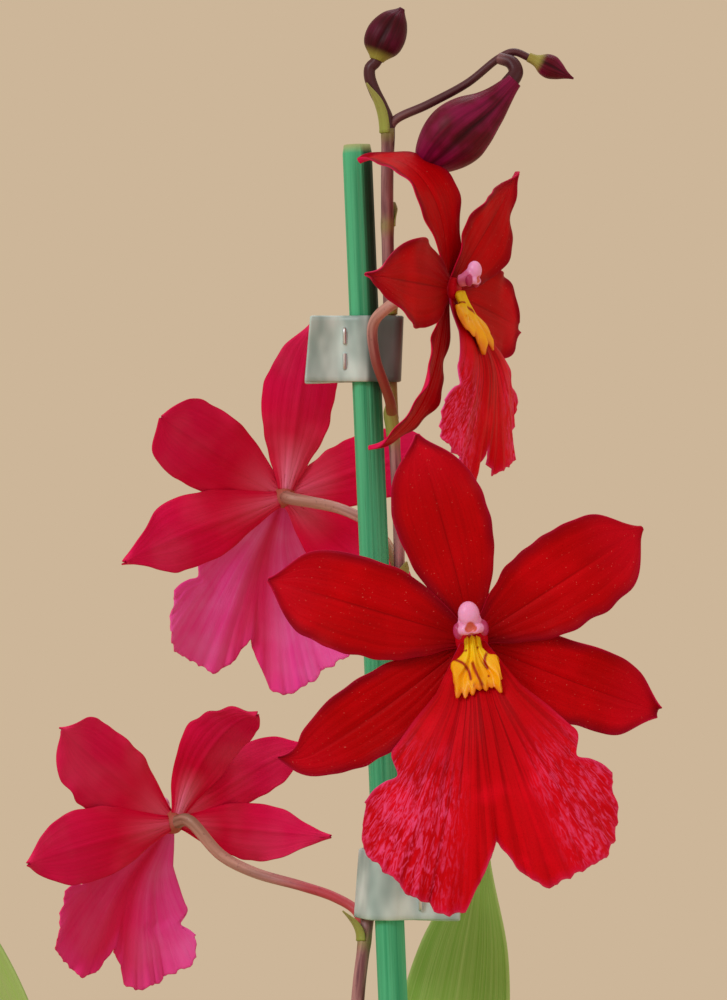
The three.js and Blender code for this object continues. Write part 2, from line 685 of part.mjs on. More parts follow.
// The stem with its nodes, bracts, bud stalks and the stalk of each bloom
function stem(line, blooms) {
  const pieces = [tube(line, (t) => profile(STEM_RADIUS, t), 7, 30)];
  for (const { line: points, from, to } of BRANCHES) {
    pieces.push(tube(curveOf(points), (t) => mix(from, to, t), 6, 6));
  }
  BLOOMS.forEach(({ stalk }, k) => {
    const behind = (z) => blooms[k].localToWorld(vec([0, 0, z])).toArray();
    const points = [...stalk, behind(-5), behind(-HEART_RADIUS * 0.75 - GAP)];
    pieces.push(tube(curveOf(points), (t) => mix(0.8, 1.1, t ** 2), 6, 8));
  });
  for (const row of BRACTS) pieces.push(bract(line, row));
  return joined(pieces);
}

// The points of a circle
const ring = (centre, radius, count) =>
  Array.from({ length: count }, (_, k) => {
    const turn = (2 * Math.PI * k) / count;
    return new THREE.Vector2(centre.x + radius * Math.cos(turn), centre.y + radius * Math.sin(turn));
  });

// The convex outline round points, anticlockwise
function hull(points) {
  const sorted = [...points].sort((a, b) => a.x - b.x || a.y - b.y);
  const turnsRight = (a, b, c) => (b.x - a.x) * (c.y - a.y) - (b.y - a.y) * (c.x - a.x) <= 1e-9;
  const half = (list) => {
    const kept = [];
    for (const p of list) {
      while (kept.length > 1 && turnsRight(kept.at(-2), kept.at(-1), p)) kept.pop();
      kept.push(p);
    }
    return kept.slice(0, -1);
  };
  return [...half(sorted), ...half(sorted.reverse())];
}

// How far in front of the stake's middle a tie's tail lies
const TAIL_DEPTH = -STAKE.radius * 0.62;

// A tie: a strap bent round the stake and the stem, with its two ends stapled in a flat tail.
// It is an extruded outline, and it leaves room for both over its whole height.
function tie({ z, side, tail: long }, stemLine) {
  const reach = STAKE.radius * 1.06 + GAP;
  const levels = [z - TIE.height / 2, z, z + TIE.height / 2];
  const outline = (spare) => hull(levels.flatMap((level) => {
    const pole = stakeAt(level);
    const held = stemAt(stemLine, level);
    return [
      ...ring(new THREE.Vector2(pole.x, pole.y), reach + spare, 14),
      ...ring(new THREE.Vector2(held.x, held.y), held.radius + GAP + spare, 10),
    ];
  }));
  const shape = new THREE.Shape(outline(TIE.ply));
  shape.holes.push(new THREE.Path(outline(0)));
  const strap = new THREE.ExtrudeGeometry(shape, { depth: TIE.height, bevelEnabled: false });
  const pole = stakeAt(z);
  const start = reach + 0.4;
  const tail = new THREE.BoxGeometry(long, 2 * TIE.ply, TIE.height);
  tail.translate(pole.x + side * (start + long / 2), TAIL_DEPTH, TIE.height / 2);
  return joined([solidOf(strap), solidOf(tail)]).translate([0, 0, z - TIE.height / 2]);
}

// A staple through a tie's tail: a wire with its back on one side and its legs bent on the other
function staple({ z, side, away, face }, extra = 0) {
  const pole = stakeAt(z);
  const x = pole.x + side * (STAKE.radius + away);
  const y = TAIL_DEPTH;
  const out = face * (TIE.ply + STAPLE.wire + 0.1);
  const top = STAPLE.height / 2;
  const wire = [
    [x, y - out, z + top - STAPLE.leg],
    [x, y - out, z + top - 0.4],
    [x, y - out * 0.7, z + top],
    [x, y + out * 0.7, z + top],
    [x, y + out, z + top - 0.4],
    [x, y + out, z - top + 0.4],
    [x, y + out * 0.7, z - top],
    [x, y - out * 0.7, z - top],
    [x, y - out, z - top + 0.4],
    [x, y - out, z - top + STAPLE.leg],
  ];
  return tube(curveOf(wire), () => STAPLE.wire + extra, 4, 14);
}

// side is -1 for a tail to the left and tail its length. away is the staple's distance from the
// stake, and face is 1 where its bent legs are at the front.
const TIES = [
  { name: "upper", z: 413.8, side: -1, tail: 6, away: 0.9, face: 1 },
  { name: "lower", z: 326, side: 1, tail: 8.5, away: 3, face: -1 },
];

// The bark: a filled body with chips lying on its top, and a plain hole for all that stands in it
function bark(holes) {
  const bottom = POT.floor + GAP;
  const cone = (top) => {
    const radiusAt = (z) => {
      const share = z / POT.height;
      return mix(POT.footRadius, POT.rimRadius - POT.bandStep, share) - POT.wall - GAP;
    };
    const shape = new THREE.CylinderGeometry(
      radiusAt(top),
      radiusAt(bottom),
      top - bottom,
      POT.sides,
    );
    return solidOf(shape.rotateX(Math.PI / 2).translate(0, 0, (top + bottom) / 2));
  };
  const random = seeded(7);
  const chips = [];
  for (let k = 0; k < BARK.chips; k++) {
    const away = Math.sqrt((k + 0.5) / BARK.chips) * (POT.footRadius + 4);
    const turn = k * 2.39996;
    const [long, broad, deep] = BARK.chipSize.map((size) => size * mix(0.75, 1.15, random()));
    const chip = new THREE.BoxGeometry(long, broad, deep);
    const corners = chip.attributes.position;
    for (let c = 0; c < corners.count; c++) {
      const shrink = corners.getZ(c) > 0 ? 0.8 : 1;
      corners.setXY(c, corners.getX(c) * shrink, corners.getY(c) * shrink);
    }
    chip.rotateX(rad(mix(-14, 14, random())));
    chip.rotateY(rad(mix(-16, 16, random())));
    chip.rotateZ(rad(360 * random()));
    chip.translate(away * Math.cos(turn), away * Math.sin(turn), BARK.top + mix(-1, 1.6, random()));
    chips.push(solidOf(chip));
  }
  const rough = joined([cone(BARK.top), ...chips]).intersect(cone(BARK.top + 8));
  return holes.reduce((body, hole) => body.subtract(hole), rough);
}

// Assembly
const orchid = new THREE.Group();

const blooms = BLOOMS.map(bloom);
orchid.add(...blooms);

const stemLine = curveOf(STEM_PATH);
const flowerStem = stem(stemLine, blooms);
orchid.add(meshOf("flower_stem", flowerStem, STEM_PURPLE));
for (const row of BUDS) orchid.add(meshOf(row.name, bud(row), BUD_PURPLE));

const fatRhizome = rhizome(GAP);
orchid.add(meshOf("rhizome_roots", rhizome(), ROOT_GREY));
for (const row of BULBS) {
  orchid.add(meshOf(row.name, bulb(row).subtract(fatRhizome), BULB_GREEN));
}
for (const row of LEAVES) orchid.add(meshOf(row.name, leaf(row), LEAF_GREEN));

orchid.add(meshOf("stake", stake(), STAKE_GREEN));
for (const row of TIES) {
  const strap = tie(row, stemLine).subtract(staple(row, GAP));
  orchid.add(meshOf(`${row.name}_tie`, strap, TIE_GREY));
  orchid.add(meshOf(`${row.name}_staple`, staple(row), WIRE));
}

const stemFoot = tube(curveOf([[-5, -19.5, 92.9], ...STEM_PATH.slice(1, 3)]), () => 2.7 + GAP, 7, 4);
const holes = [
  fatRhizome,
  stake(GAP),
  stemFoot,
  ...BULBS.map((row) => bulb(row, GAP)),
  ...LEAVES.filter(({ shape }) => shape === SHEATH_SHAPE).map(leafHole),
];
orchid.add(meshOf("bark", bark(holes), BARK_BROWN));
orchid.add(meshOf("pot", pot(), POT_GREY));

export default orchid;
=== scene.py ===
"""A potted orchid in bloom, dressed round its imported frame.

Sizes are in millimetres until a mesh is made. +Z is up, and the plant is seen from -Y.
A surface takes s, from -1 to 1 across, and t, from 0 to 1 along, as the part's source does.
"""

from __future__ import annotations

import logging
import math
import sys
from collections.abc import Callable, Sequence
from dataclasses import dataclass, field
from enum import Enum
from typing import Any

import bpy
import numpy as np
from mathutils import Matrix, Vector

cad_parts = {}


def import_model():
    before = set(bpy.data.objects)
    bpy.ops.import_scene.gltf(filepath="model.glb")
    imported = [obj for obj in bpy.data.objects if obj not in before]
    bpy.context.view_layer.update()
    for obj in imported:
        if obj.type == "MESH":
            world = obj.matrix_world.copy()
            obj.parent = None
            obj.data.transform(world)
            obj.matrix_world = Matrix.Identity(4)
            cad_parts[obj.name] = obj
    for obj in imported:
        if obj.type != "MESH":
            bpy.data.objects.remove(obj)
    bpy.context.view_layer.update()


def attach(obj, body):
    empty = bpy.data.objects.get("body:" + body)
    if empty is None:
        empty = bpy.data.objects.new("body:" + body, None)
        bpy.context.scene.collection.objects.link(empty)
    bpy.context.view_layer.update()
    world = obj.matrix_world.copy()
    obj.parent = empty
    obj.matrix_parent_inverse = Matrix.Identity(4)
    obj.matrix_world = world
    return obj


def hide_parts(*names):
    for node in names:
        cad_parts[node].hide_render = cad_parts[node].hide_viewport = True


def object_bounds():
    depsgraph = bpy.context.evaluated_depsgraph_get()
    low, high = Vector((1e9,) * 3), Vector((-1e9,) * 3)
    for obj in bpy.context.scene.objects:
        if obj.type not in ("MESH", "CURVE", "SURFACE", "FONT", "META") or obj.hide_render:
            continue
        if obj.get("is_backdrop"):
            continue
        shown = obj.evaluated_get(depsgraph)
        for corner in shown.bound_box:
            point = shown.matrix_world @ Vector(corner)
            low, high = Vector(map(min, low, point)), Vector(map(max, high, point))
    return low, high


log = logging.getLogger("orchid")

MM = 0.001
BODY = "root"

Array = np.ndarray
Colour = tuple[int, int, int]
Surface = Callable[[Array, Array], Array]
Placing = Callable[[Array], Array]
Marks = dict[str, Surface]
Point = tuple[float, float, float]
Path = tuple[Point, ...]


# Shape maths


def profile(heights: Sequence[float], t: Array | float) -> Array:
    """A smooth line through evenly spaced heights.

    Args:
        heights: The values that the line runs through.
        t: Where to read it, from 0 to 1.

    Returns:
        The line's value at each t.
    """
    values = np.asarray(heights, float)
    last = len(values) - 1
    x = np.clip(t, 0.0, 1.0) * last
    i = np.minimum(np.floor(x).astype(int), last - 1)
    f = x - i

    def h(k: Array) -> Array:
        """The height of row k, held at both ends."""
        return values[np.clip(k, 0, last)]

    def rise(k: Array) -> Array:
        """The slope at row k."""
        return (h(k + 1) - h(k - 1)) / 2

    f2, f3 = f * f, f * f * f
    start = (2 * f3 - 3 * f2 + 1) * h(i) + (f3 - 2 * f2 + f) * rise(i)
    return start + (3 * f2 - 2 * f3) * h(i + 1) + (f3 - f2) * rise(i + 1)


def ramp(x: Array | float, low: float, high: float) -> Array:
    """A smooth step from 0 at low to 1 at high."""
    f = np.clip((np.asarray(x, float) - low) / (high - low), 0.0, 1.0)
    return f * f * (3 - 2 * f)


def ripple(x: Array, seed: int, slow: float = 1.0, fast: float = 6.0, waves: int = 6) -> Array:
    """An uneven wave made of several sines.

    Args:
        x: Where to read it.
        seed: Fixes the sines.
        slow: The lowest number of turns per unit of x.
        fast: The highest number of turns per unit of x.
        waves: How many sines are added.

    Returns:
        Values that stay mostly between -1 and 1.
    """
    draw = np.random.default_rng(seed)
    turns = draw.uniform(slow, fast, waves)
    phases = draw.uniform(0, 2 * math.pi, waves)
    total = sum(np.sin(2 * math.pi * k * x + p) for k, p in zip(turns, phases))
    return total / math.sqrt(waves)


def swell(points: Array, seed: int, size: float) -> Array:
    """An uneven swell through space, with bumps about size millimetres apart."""
    draw = np.random.default_rng(seed)
    total = np.zeros(points.shape[:-1])
    for _ in range(7):
        way = draw.normal(size=3)
        way *= draw.uniform(0.6, 1.5) * 2 * math.pi / (size * np.linalg.norm(way))
        total += np.sin(points @ way + draw.uniform(0, 2 * math.pi))
    return total / 2.6


def unit(vectors: Array) -> Array:
    """The vectors at length one."""
    return vectors / np.maximum(np.linalg.norm(vectors, axis=-1, keepdims=True), 1e-12)


def turned(vectors: Array, axis: Array, angle: Array | float) -> Array:
    """The vectors turned about an axis that is square to them, by an angle in radians."""
    cosine = np.asarray(np.cos(angle))[..., None]
    sine = np.asarray(np.sin(angle))[..., None]
    return vectors * cosine + np.cross(axis, vectors) * sine


class Line:
    """A smooth curve through points, measured along its length."""

    def __init__(self, points: Sequence[Sequence[float]]) -> None:
        """Samples the centripetal curve through the points."""
        rows = np.asarray(points, float)
        if len(rows) == 2:
            self.samples = rows[0] + np.linspace(0, 1, 60)[:, None] * (rows[1] - rows[0])
        else:
            self.samples = self._sampled(rows)
        steps = np.linalg.norm(np.diff(self.samples, axis=0), axis=1)
        self.run = np.concatenate([[0], np.cumsum(steps)])
        self.length = float(self.run[-1])

    @staticmethod
    def _sampled(rows: Array) -> Array:
        """Points on the centripetal curve, 24 to a span."""
        first = 2 * rows[0] - rows[1]
        last = 2 * rows[-1] - rows[-2]
        ends = np.vstack([first, rows, last])
        made = [rows[0]]
        for k in range(1, len(ends) - 2):
            p0, p1, p2, p3 = ends[k - 1 : k + 3]
            d0, d1, d2 = (np.linalg.norm(b - a) ** 0.5 for a, b in ((p0, p1), (p1, p2), (p2, p3)))
            t1 = ((p1 - p0) / d0 - (p2 - p0) / (d0 + d1) + (p2 - p1) / d1) * d1
            t2 = ((p2 - p1) / d1 - (p3 - p1) / (d1 + d2) + (p3 - p2) / d2) * d1
            for f in np.linspace(0, 1, 25)[1:]:
                cubic = 2 * p1 - 2 * p2 + t1 + t2
                square = -3 * p1 + 3 * p2 - 2 * t1 - t2
                made.append(p1 + t1 * f + square * f * f + cubic * f**3)
        return np.array(made)

    def at(self, t: Array | float) -> Array:
        """The points at shares t of the length."""
        x = np.clip(t, 0, 1) * self.length
        return np.stack([np.interp(x, self.run, self.samples[:, k]) for k in range(3)], axis=-1)

    def ahead(self, t: Array | float) -> Array:
        """The unit direction at shares t of the length."""
        step = 0.004
        low = np.clip(np.asarray(t, float) - step, 0, 1)
        high = np.clip(np.asarray(t, float) + step, 0, 1)
        return unit(self.at(high) - self.at(low))

    def share_at_height(self, z: float) -> float:
        """The share of the length at which a rising line passes height z."""
        return float(np.interp(z, self.samples[:, 2], self.run)) / self.length


@dataclass
class Skin:
    """Points and faces that become one closed mesh, with the values that they carry."""

    name: str
    points: list[Array] = field(default_factory=list)
    faces: list[Array] = field(default_factory=list)
    corners: list[Array] = field(default_factory=list)
    marks: list[dict[str, Array]] = field(default_factory=list)
    count: int = 0

    def add(self, points: Array, faces: Array, corners: Array, marks: dict[str, Array]) -> None:
        """Adds one closed body.

        Args:
            points: Its points, in millimetres.
            faces: Its four-cornered faces, where a triangle repeats its last point.
            corners: The u and v of each corner of each face.
            marks: Named values, one for each point.
        """
        self.points.append(points)
        self.faces.append(faces + self.count)
        self.corners.append(corners)
        self.marks.append(marks)
        self.count += len(points)

    def built(self, finish: Finish, smooth: bool = True) -> bpy.types.Object:
        """The mesh object of all that was added, in metres."""
        points = np.concatenate(self.points) * MM
        faces = np.concatenate(self.faces)
        corners = np.concatenate(self.corners)
        triangle = faces[:, 2] == faces[:, 3]
        totals = np.where(triangle, 3, 4)
        kept = np.ones(faces.shape, bool)
        kept[:, 3] = ~triangle
        starts = np.concatenate([[0], np.cumsum(totals)[:-1]])

        mesh = bpy.data.meshes.new(self.name)
        mesh.vertices.add(len(points))
        mesh.vertices.foreach_set("co", points.ravel())
        mesh.loops.add(int(totals.sum()))
        mesh.loops.foreach_set("vertex_index", faces[kept])
        mesh.polygons.add(len(faces))
        mesh.polygons.foreach_set("loop_start", starts)
        mesh.polygons.foreach_set("use_smooth", np.full(len(faces), smooth))
        layer = mesh.uv_layers.new(name="UVMap")
        layer.data.foreach_set("uv", corners[kept].ravel())
        for key in sorted({key for row in self.marks for key in row}):
            parts = [
                row.get(key, np.zeros(len(points_of)))
                for row, points_of in zip(self.marks, self.points)
            ]
            mark = mesh.attributes.new(key, "FLOAT", "POINT")
            mark.data.foreach_set("value", np.concatenate(parts).astype(np.float32))
        mesh.update()
        mesh.validate()
        mesh.materials.append(finish.material())
        return placed(self.name, mesh)

    def show(self, finish: Finish, node: str) -> None:
        """Makes the object and puts it in a solid's place."""
        show(self.built(finish), finish, node)


def placed(name: str, data: Any) -> Any:
    """A new object of the scene, made of a mesh, a light or a camera."""
    made = bpy.data.objects.new(name, data)
    bpy.context.scene.collection.objects.link(made)
    return made


def normals_of(at: Surface, s: Array, t: Array) -> Array:
    """The directions square to a surface, by small steps on it."""
    step = 1e-3
    across = at(s + step, t) - at(s - step, t)
    along = at(s, np.minimum(t + step, 1)) - at(s, np.maximum(t - step, 0))
    return unit(np.cross(across, along))


def add_blade(
    skin: Skin,
    at: Surface,
    columns: int,
    rows: int,
    thickness: Surface,
    square: Surface | None = None,
    marks: Marks | None = None,
) -> None:
    """Adds a thin closed blade on a surface, with a rounded rim.

    Its points carry back, which is 0 on the front and 1 on the back, and rim, the distance in
    millimetres to the nearest edge.

    Args:
        skin: Takes the blade.
        at: The surface.
        columns: The number of cells across.
        rows: The number of cells along.
        thickness: The blade's thickness at s and t.
        square: The direction of the thickness, where it isn't the surface's own.
        marks: More named values at s and t.
    """
    s, t = np.meshgrid(np.linspace(-1, 1, columns + 1), np.linspace(0, 1, rows + 1))
    middle = at(s, t)
    normal = (square or (lambda a, b: normals_of(at, a, b)))(s, t)
    thick = np.broadcast_to(thickness(s, t), s.shape)[..., None]
    front = (middle + normal * thick / 2).reshape(-1, 3)
    back = (middle - normal * thick / 2).reshape(-1, 3)
    wide = columns + 1
    n = wide * (rows + 1)

    ring = np.concatenate([
        np.arange(columns),
        np.arange(rows) * wide + columns,
        rows * wide + np.arange(columns, 0, -1),
        np.arange(rows, 0, -1) * wide,
    ])
    around = unit(front[np.roll(ring, -1)] - front[np.roll(ring, 1)])
    outward = unit(np.cross(around, normal.reshape(-1, 3)[ring]))
    round_by = 0.35 * thick.reshape(-1, 1)[ring]
    edge = (front[ring] + back[ring]) / 2 + outward * round_by

    cell = (np.arange(rows)[:, None] * wide + np.arange(columns)).ravel()
    quads = np.stack([cell, cell + 1, cell + wide + 1, cell + wide], axis=1)
    after = np.roll(ring, -1)
    spot = 2 * n + np.arange(len(ring))
    spot_after = np.roll(spot, -1)
    faces = np.concatenate([
        quads,
        n + quads[:, ::-1],
        np.stack([after, ring, spot, spot_after], axis=1),
        np.stack([spot_after, spot, n + ring, n + after], axis=1),
    ])
    uv = np.stack([s.ravel() / 2 + 0.5, t.ravel()], axis=1)
    uv = np.concatenate([uv, uv, uv[ring]])

    steps = np.linalg.norm(np.diff(middle, axis=1), axis=2)
    from_left = np.concatenate([np.zeros((rows + 1, 1)), np.cumsum(steps, axis=1)], axis=1)
    sideways = np.minimum(from_left, from_left[:, -1:] - from_left)
    climbs = np.linalg.norm(np.diff(middle, axis=0), axis=2)
    climbed = np.concatenate([np.zeros((1, wide)), np.cumsum(climbs, axis=0)])
    rim = np.minimum(sideways, climbed[-1:] - climbed).ravel()
    made = {
        "back": np.concatenate([np.zeros(n), np.ones(n), np.full(len(ring), 0.5)]),
        "rim": np.concatenate([rim, rim, np.zeros(len(ring))]),
    }
    for key, value in (marks or {}).items():
        grid = np.broadcast_to(value(s, t), s.shape).ravel()
        made[key] = np.concatenate([grid, grid, grid[ring]])
    skin.add(np.concatenate([front, back, edge]), faces, uv[faces], made)


def ring_faces(rings: int, sides: int) -> tuple[Array, Array, Array]:
    """The faces of a closed stack of rings.

    Args:
        rings: The number of rings. The middles of both ends follow their points.
        sides: The number of points round each.

    Returns:
        The walls, the faces of the start and the faces of the end.
    """
    row, spoke = np.divmod(np.arange((rings - 1) * sides), sides)
    after = (spoke + 1) % sides
    base, over = row * sides, (row + 1) * sides
    walls = np.stack([base + spoke, base + after, over + after, over + spoke], axis=1)
    k, top = np.arange(sides), (rings - 1) * sides
    k1 = (k + 1) % sides
    foot, tip = np.full(sides, rings * sides), np.full(sides, rings * sides + 1)
    start = np.stack([k1, k, foot, foot], axis=1)
    return walls, start, np.stack([top + k, top + k1, tip, tip], axis=1)


def add_tube(
    skin: Skin,
    line: Line,
    radius: Surface,
    sides: int,
    steps: int,
    side: Sequence[float] | None = None,
    marks: Marks | None = None,
) -> None:
    """Adds a closed tube along a line.

    Args:
        skin: Takes the tube.
        line: The tube's middle.
        radius: Its radius at t and at a turn in radians.
        sides: The number of points round it.
        steps: The number of cells along it.
        side: The direction in which the turn is 0, where it matters.
        marks: Named values at t and at a turn.
    """
    t = np.linspace(0, 1, steps + 1)
    spine, ahead = line.at(t), line.ahead(t)
    if side is None:
        side = (0.0, 1.0, 0.1) if abs(ahead[0][1]) < 0.9 else (1.0, 0.0, 0.1)
    one = np.empty_like(ahead)
    held = np.asarray(side, float)
    for k, way in enumerate(ahead):
        held = unit(held - way * (held @ way))
        one[k] = held
    other = np.cross(ahead, one)

    turn = np.arange(sides) * 2 * math.pi / sides
    along, around = np.meshgrid(t, turn, indexing="ij")
    away = np.broadcast_to(radius(along, around), along.shape)[..., None]
    cosine, sine = np.cos(around)[..., None], np.sin(around)[..., None]
    body = spine[:, None] + away * (cosine * one[:, None] + sine * other[:, None])
    points = np.concatenate([body.reshape(-1, 3), spine[:1], spine[-1:]])

    row, spoke = np.divmod(np.arange(steps * sides), sides)
    u0, u1 = spoke / sides, (spoke + 1) / sides
    v0, v1 = row / steps, (row + 1) / steps
    corners_uv = ((u0, v0), (u1, v0), (u1, v1), (u0, v1))
    wall_uv = np.stack([np.stack(pair, axis=1) for pair in corners_uv], axis=1)
    k = np.arange(sides)
    cap_u = np.stack([k, k + 1, k + 0.5, k + 0.5], axis=1) / sides
    start_uv = np.stack([cap_u, np.zeros_like(cap_u)], axis=2)
    end_uv = np.stack([cap_u, np.ones_like(cap_u)], axis=2)
    made = {"along": np.concatenate([along.ravel(), [0, 1]]) * line.length}
    for key, value in (marks or {}).items():
        grid = np.broadcast_to(value(along, around), along.shape)
        ends = [grid[0].mean(), grid[-1].mean()]
        made[key] = np.concatenate([grid.ravel(), ends])
    faces = np.concatenate(ring_faces(steps + 1, sides))
    skin.add(points, faces, np.concatenate([wall_uv, start_uv, end_uv]), made)


# Node trees


class Signal:
    """One output socket of a node tree. Arithmetic on it adds Math nodes."""

    def __init__(self, graph: Graph, node: bpy.types.Node, socket: bpy.types.NodeSocket) -> None:
        """Wraps a socket."""
        self.graph = graph
        self.node = node
        self.socket = socket

    def out(self, key: str | int) -> Signal:
        """Another output of the same node."""
        return Signal(self.graph, self.node, self.node.outputs[key])

    def math(self, operation: str, *values: Signal | float, clamp: bool = False) -> Signal:
        """A Math node on this value and others.

        Args:
            operation: The Math node's operation.
            *values: Its other inputs.
            clamp: Whether the result is held between 0 and 1.

        Returns:
            The result.
        """
        inputs = {0: self, **{k + 1: value for k, value in enumerate(values)}}
        settings = {"operation": operation, "use_clamp": clamp}
        return self.graph.node("ShaderNodeMath", settings, inputs)

    def __add__(self, other: Signal | float) -> Signal:
        """The sum."""
        return self.math("ADD", other)

    __radd__ = __add__

    def __mul__(self, other: Signal | float) -> Signal:
        """The product."""
        return self.math("MULTIPLY", other)

    __rmul__ = __mul__

    def __sub__(self, other: Signal | float) -> Signal:
        """The difference."""
        return self.math("SUBTRACT", other)

    def __rsub__(self, other: float) -> Signal:
        """A number less this value."""
        return self * -1.0 + other

    def __truediv__(self, other: Signal | float) -> Signal:
        """The quotient."""
        return self.math("DIVIDE", other)

    def __abs__(self) -> Signal:
        """The size without its sign."""
        return self.math("ABSOLUTE")

    def held(self) -> Signal:
        """The value held between 0 and 1."""
        return self.math("ADD", 0.0, clamp=True)

    def step(self, low: float, high: float) -> Signal:
        """A smooth step from 0 at low to 1 at high."""
        settings = {"interpolation_type": "SMOOTHSTEP"}
        inputs = {"Value": self, "From Min": low, "From Max": high}
        return self.graph.node("ShaderNodeMapRange", settings, inputs)


class Graph:
    """Builds one node tree."""

    def __init__(self, tree: bpy.types.NodeTree) -> None:
        """Starts with an empty tree."""
        self.tree = tree
        tree.nodes.clear()

    def node(
        self,
        kind: str,
        settings: dict[str, Any] | None = None,
        inputs: dict[str | int, Any] | None = None,
    ) -> Signal:
        """Adds a node.

        Args:
            kind: The node's type.
            settings: Its own settings.
            inputs: Values or signals for its sockets, by name or by number.

        Returns:
            Its first output in use.
        """
        made = self.tree.nodes.new(kind)
        for key, value in (settings or {}).items():
            setattr(made, key, value)
        for key, value in (inputs or {}).items():
            self.feed(made.inputs[key], value)
        used = next((socket for socket in made.outputs if socket.enabled), None)
        return Signal(self, made, used)

    def feed(self, socket: bpy.types.NodeSocket, value: Any) -> None:
        """Links a signal to a socket, or sets its value."""
        if isinstance(value, Signal):
            self.tree.links.new(value.socket, socket)
        else:
            socket.default_value = value

    def vector(self, x: Any, y: Any, z: Any = 0.0) -> Signal:
        """A vector of three values."""
        return self.node("ShaderNodeCombineXYZ", inputs={0: x, 1: y, 2: z})

    def noise(
        self, vector: Signal, scale: float, detail: float = 2.0, bend: float = 0.0
    ) -> Signal:
        """Smooth noise round 0.5, with its detail and its distortion."""
        inputs = {"Vector": vector, "Scale": scale, "Detail": detail, "Distortion": bend}
        return self.node("ShaderNodeTexNoise", inputs=inputs)


def linear(colour: Colour) -> tuple[float, float, float, float]:
    """A screen colour, 0 to 255, as the values that a shader takes."""
    shares = [value / 255 for value in colour]
    parts = [c / 12.92 if c <= 0.04045 else ((c + 0.055) / 1.055) ** 2.4 for c in shares]
    return (*parts, 1.0)


class Paint(Graph):
    """Builds one material's tree."""

    def uv(self) -> tuple[Signal, Signal]:
        """The piece's own u and v."""
        split = self.node("ShaderNodeSeparateXYZ", inputs={0: self.node("ShaderNodeUVMap")})
        return split.out(0), split.out(1)

    def place(self) -> Signal:
        """The place on the object, in metres."""
        return self.node("ShaderNodeTexCoord").out("Object")

    def mark(self, name: str) -> Signal:
        """A named value of the mesh."""
        settings = {"attribute_name": name, "attribute_type": "GEOMETRY"}
        return self.node("ShaderNodeAttribute", settings).out("Fac")

    def mix(self, share: Any, first: Any, second: Any) -> Signal:
        """Two colours mixed.

        Args:
            share: How much of the second.
            first: A screen colour or a signal.
            second: A screen colour or a signal.

        Returns:
            The mixed colour.
        """
        settings = {"data_type": "RGBA", "clamp_factor": True}
        pair = [c if isinstance(c, Signal) else linear(c) for c in (first, second)]
        made = self.node("ShaderNodeMix", settings, {0: share, 6: pair[0], 7: pair[1]})
        return made.out(2)

    def coats(self, base: Any, *coats: tuple[Any, Any]) -> Signal:
        """Lays coats over a base, in their order.

        Args:
            base: A screen colour or a signal.
            *coats: How much of each shows, and its colour.

        Returns:
            The colour of them all.
        """
        for share, colour in coats:
            base = self.mix(share, base, colour)
        return base

    def bump(self, height: Signal, depth: float) -> Signal:
        """A bumped normal from a height between 0 and 1, with its depth in millimetres."""
        inputs = {"Strength": 1.0, "Distance": depth * MM, "Height": height}
        return self.node("ShaderNodeBump", inputs=inputs)

    def shade(
        self, colour: Signal, rough: Any, normal: Signal | None, shine: float, **more: Any
    ) -> None:
        """Ends the tree in one shader.

        Args:
            colour: The colour.
            rough: The roughness, as a signal or a number.
            normal: The bumped normal, if it has one.
            shine: The specular level.
            **more: Other sockets' values, with _ for a space.
        """
        inputs = {
            "Base Color": colour,
            "Roughness": rough,
            "Specular IOR Level": shine,
            **{key.replace("_", " "): value for key, value in more.items()},
        }
        if normal is not None:
            inputs["Normal"] = normal
        shader = self.node("ShaderNodeBsdfPrincipled", inputs=inputs)
        self.node("ShaderNodeOutputMaterial", inputs={"Surface": shader})


class Recipe(Graph):
    """Builds one Geometry Nodes tree with named inputs, and runs it."""

    def __init__(self, name: str) -> None:
        """Starts a tree with a geometry input and output."""
        super().__init__(bpy.data.node_groups.new(name, "GeometryNodeTree"))
        self._socket("Geometry", "NodeSocketGeometry", "INPUT")
        self._socket("Geometry", "NodeSocketGeometry", "OUTPUT")
        self.entry = self.tree.nodes.new("NodeGroupInput")
        self.values: dict[str, Any] = {}
        self.names: dict[str, str] = {}

    def _socket(self, name: str, kind: str, side: str) -> Any:
        """Adds a socket to the tree's own face."""
        return self.tree.interface.new_socket(name=name, in_out=side, socket_type=kind)

    def base(self) -> Signal:
        """The geometry that comes in."""
        return Signal(self, self.entry, self.entry.outputs["Geometry"])

    def size(self, name: str, value: Any, kind: str = "NodeSocketFloat") -> Signal:
        """A named input of the tree.

        Args:
            name: The input's name.
            value: What the modifier gives it.
            kind: The socket's type.

        Returns:
            The input.
        """
        self.names[name] = self._socket(name, kind, "INPUT").identifier
        self.values[name] = value
        return Signal(self, self.entry, self.entry.outputs[name])

    def run(self, start: bpy.types.Object, shape: Signal, finish: Finish) -> bpy.types.Object:
        """Ends the tree, runs it on an object and turns the result into a plain mesh.

        Args:
            start: The object that the tree works on, which goes.
            shape: The geometry to end with.
            finish: What the result is made of.

        Returns:
            A new mesh object with the start's name.
        """
        skin = self.size("Finish", finish.material(), "NodeSocketMaterial")
        real = self.node("GeometryNodeRealizeInstances", inputs={"Geometry": shape})
        dressed = self.node("GeometryNodeSetMaterial", inputs={"Geometry": real, "Material": skin})
        self.node("NodeGroupOutput", inputs={"Geometry": dressed})
        modifier = start.modifiers.new(self.tree.name, "NODES")
        modifier.node_group = self.tree
        for name, value in self.values.items():
            modifier[self.names[name]] = value
        made = plain_copy(start)
        made.data.materials.clear()
        made.data.materials.append(finish.material())
        return made


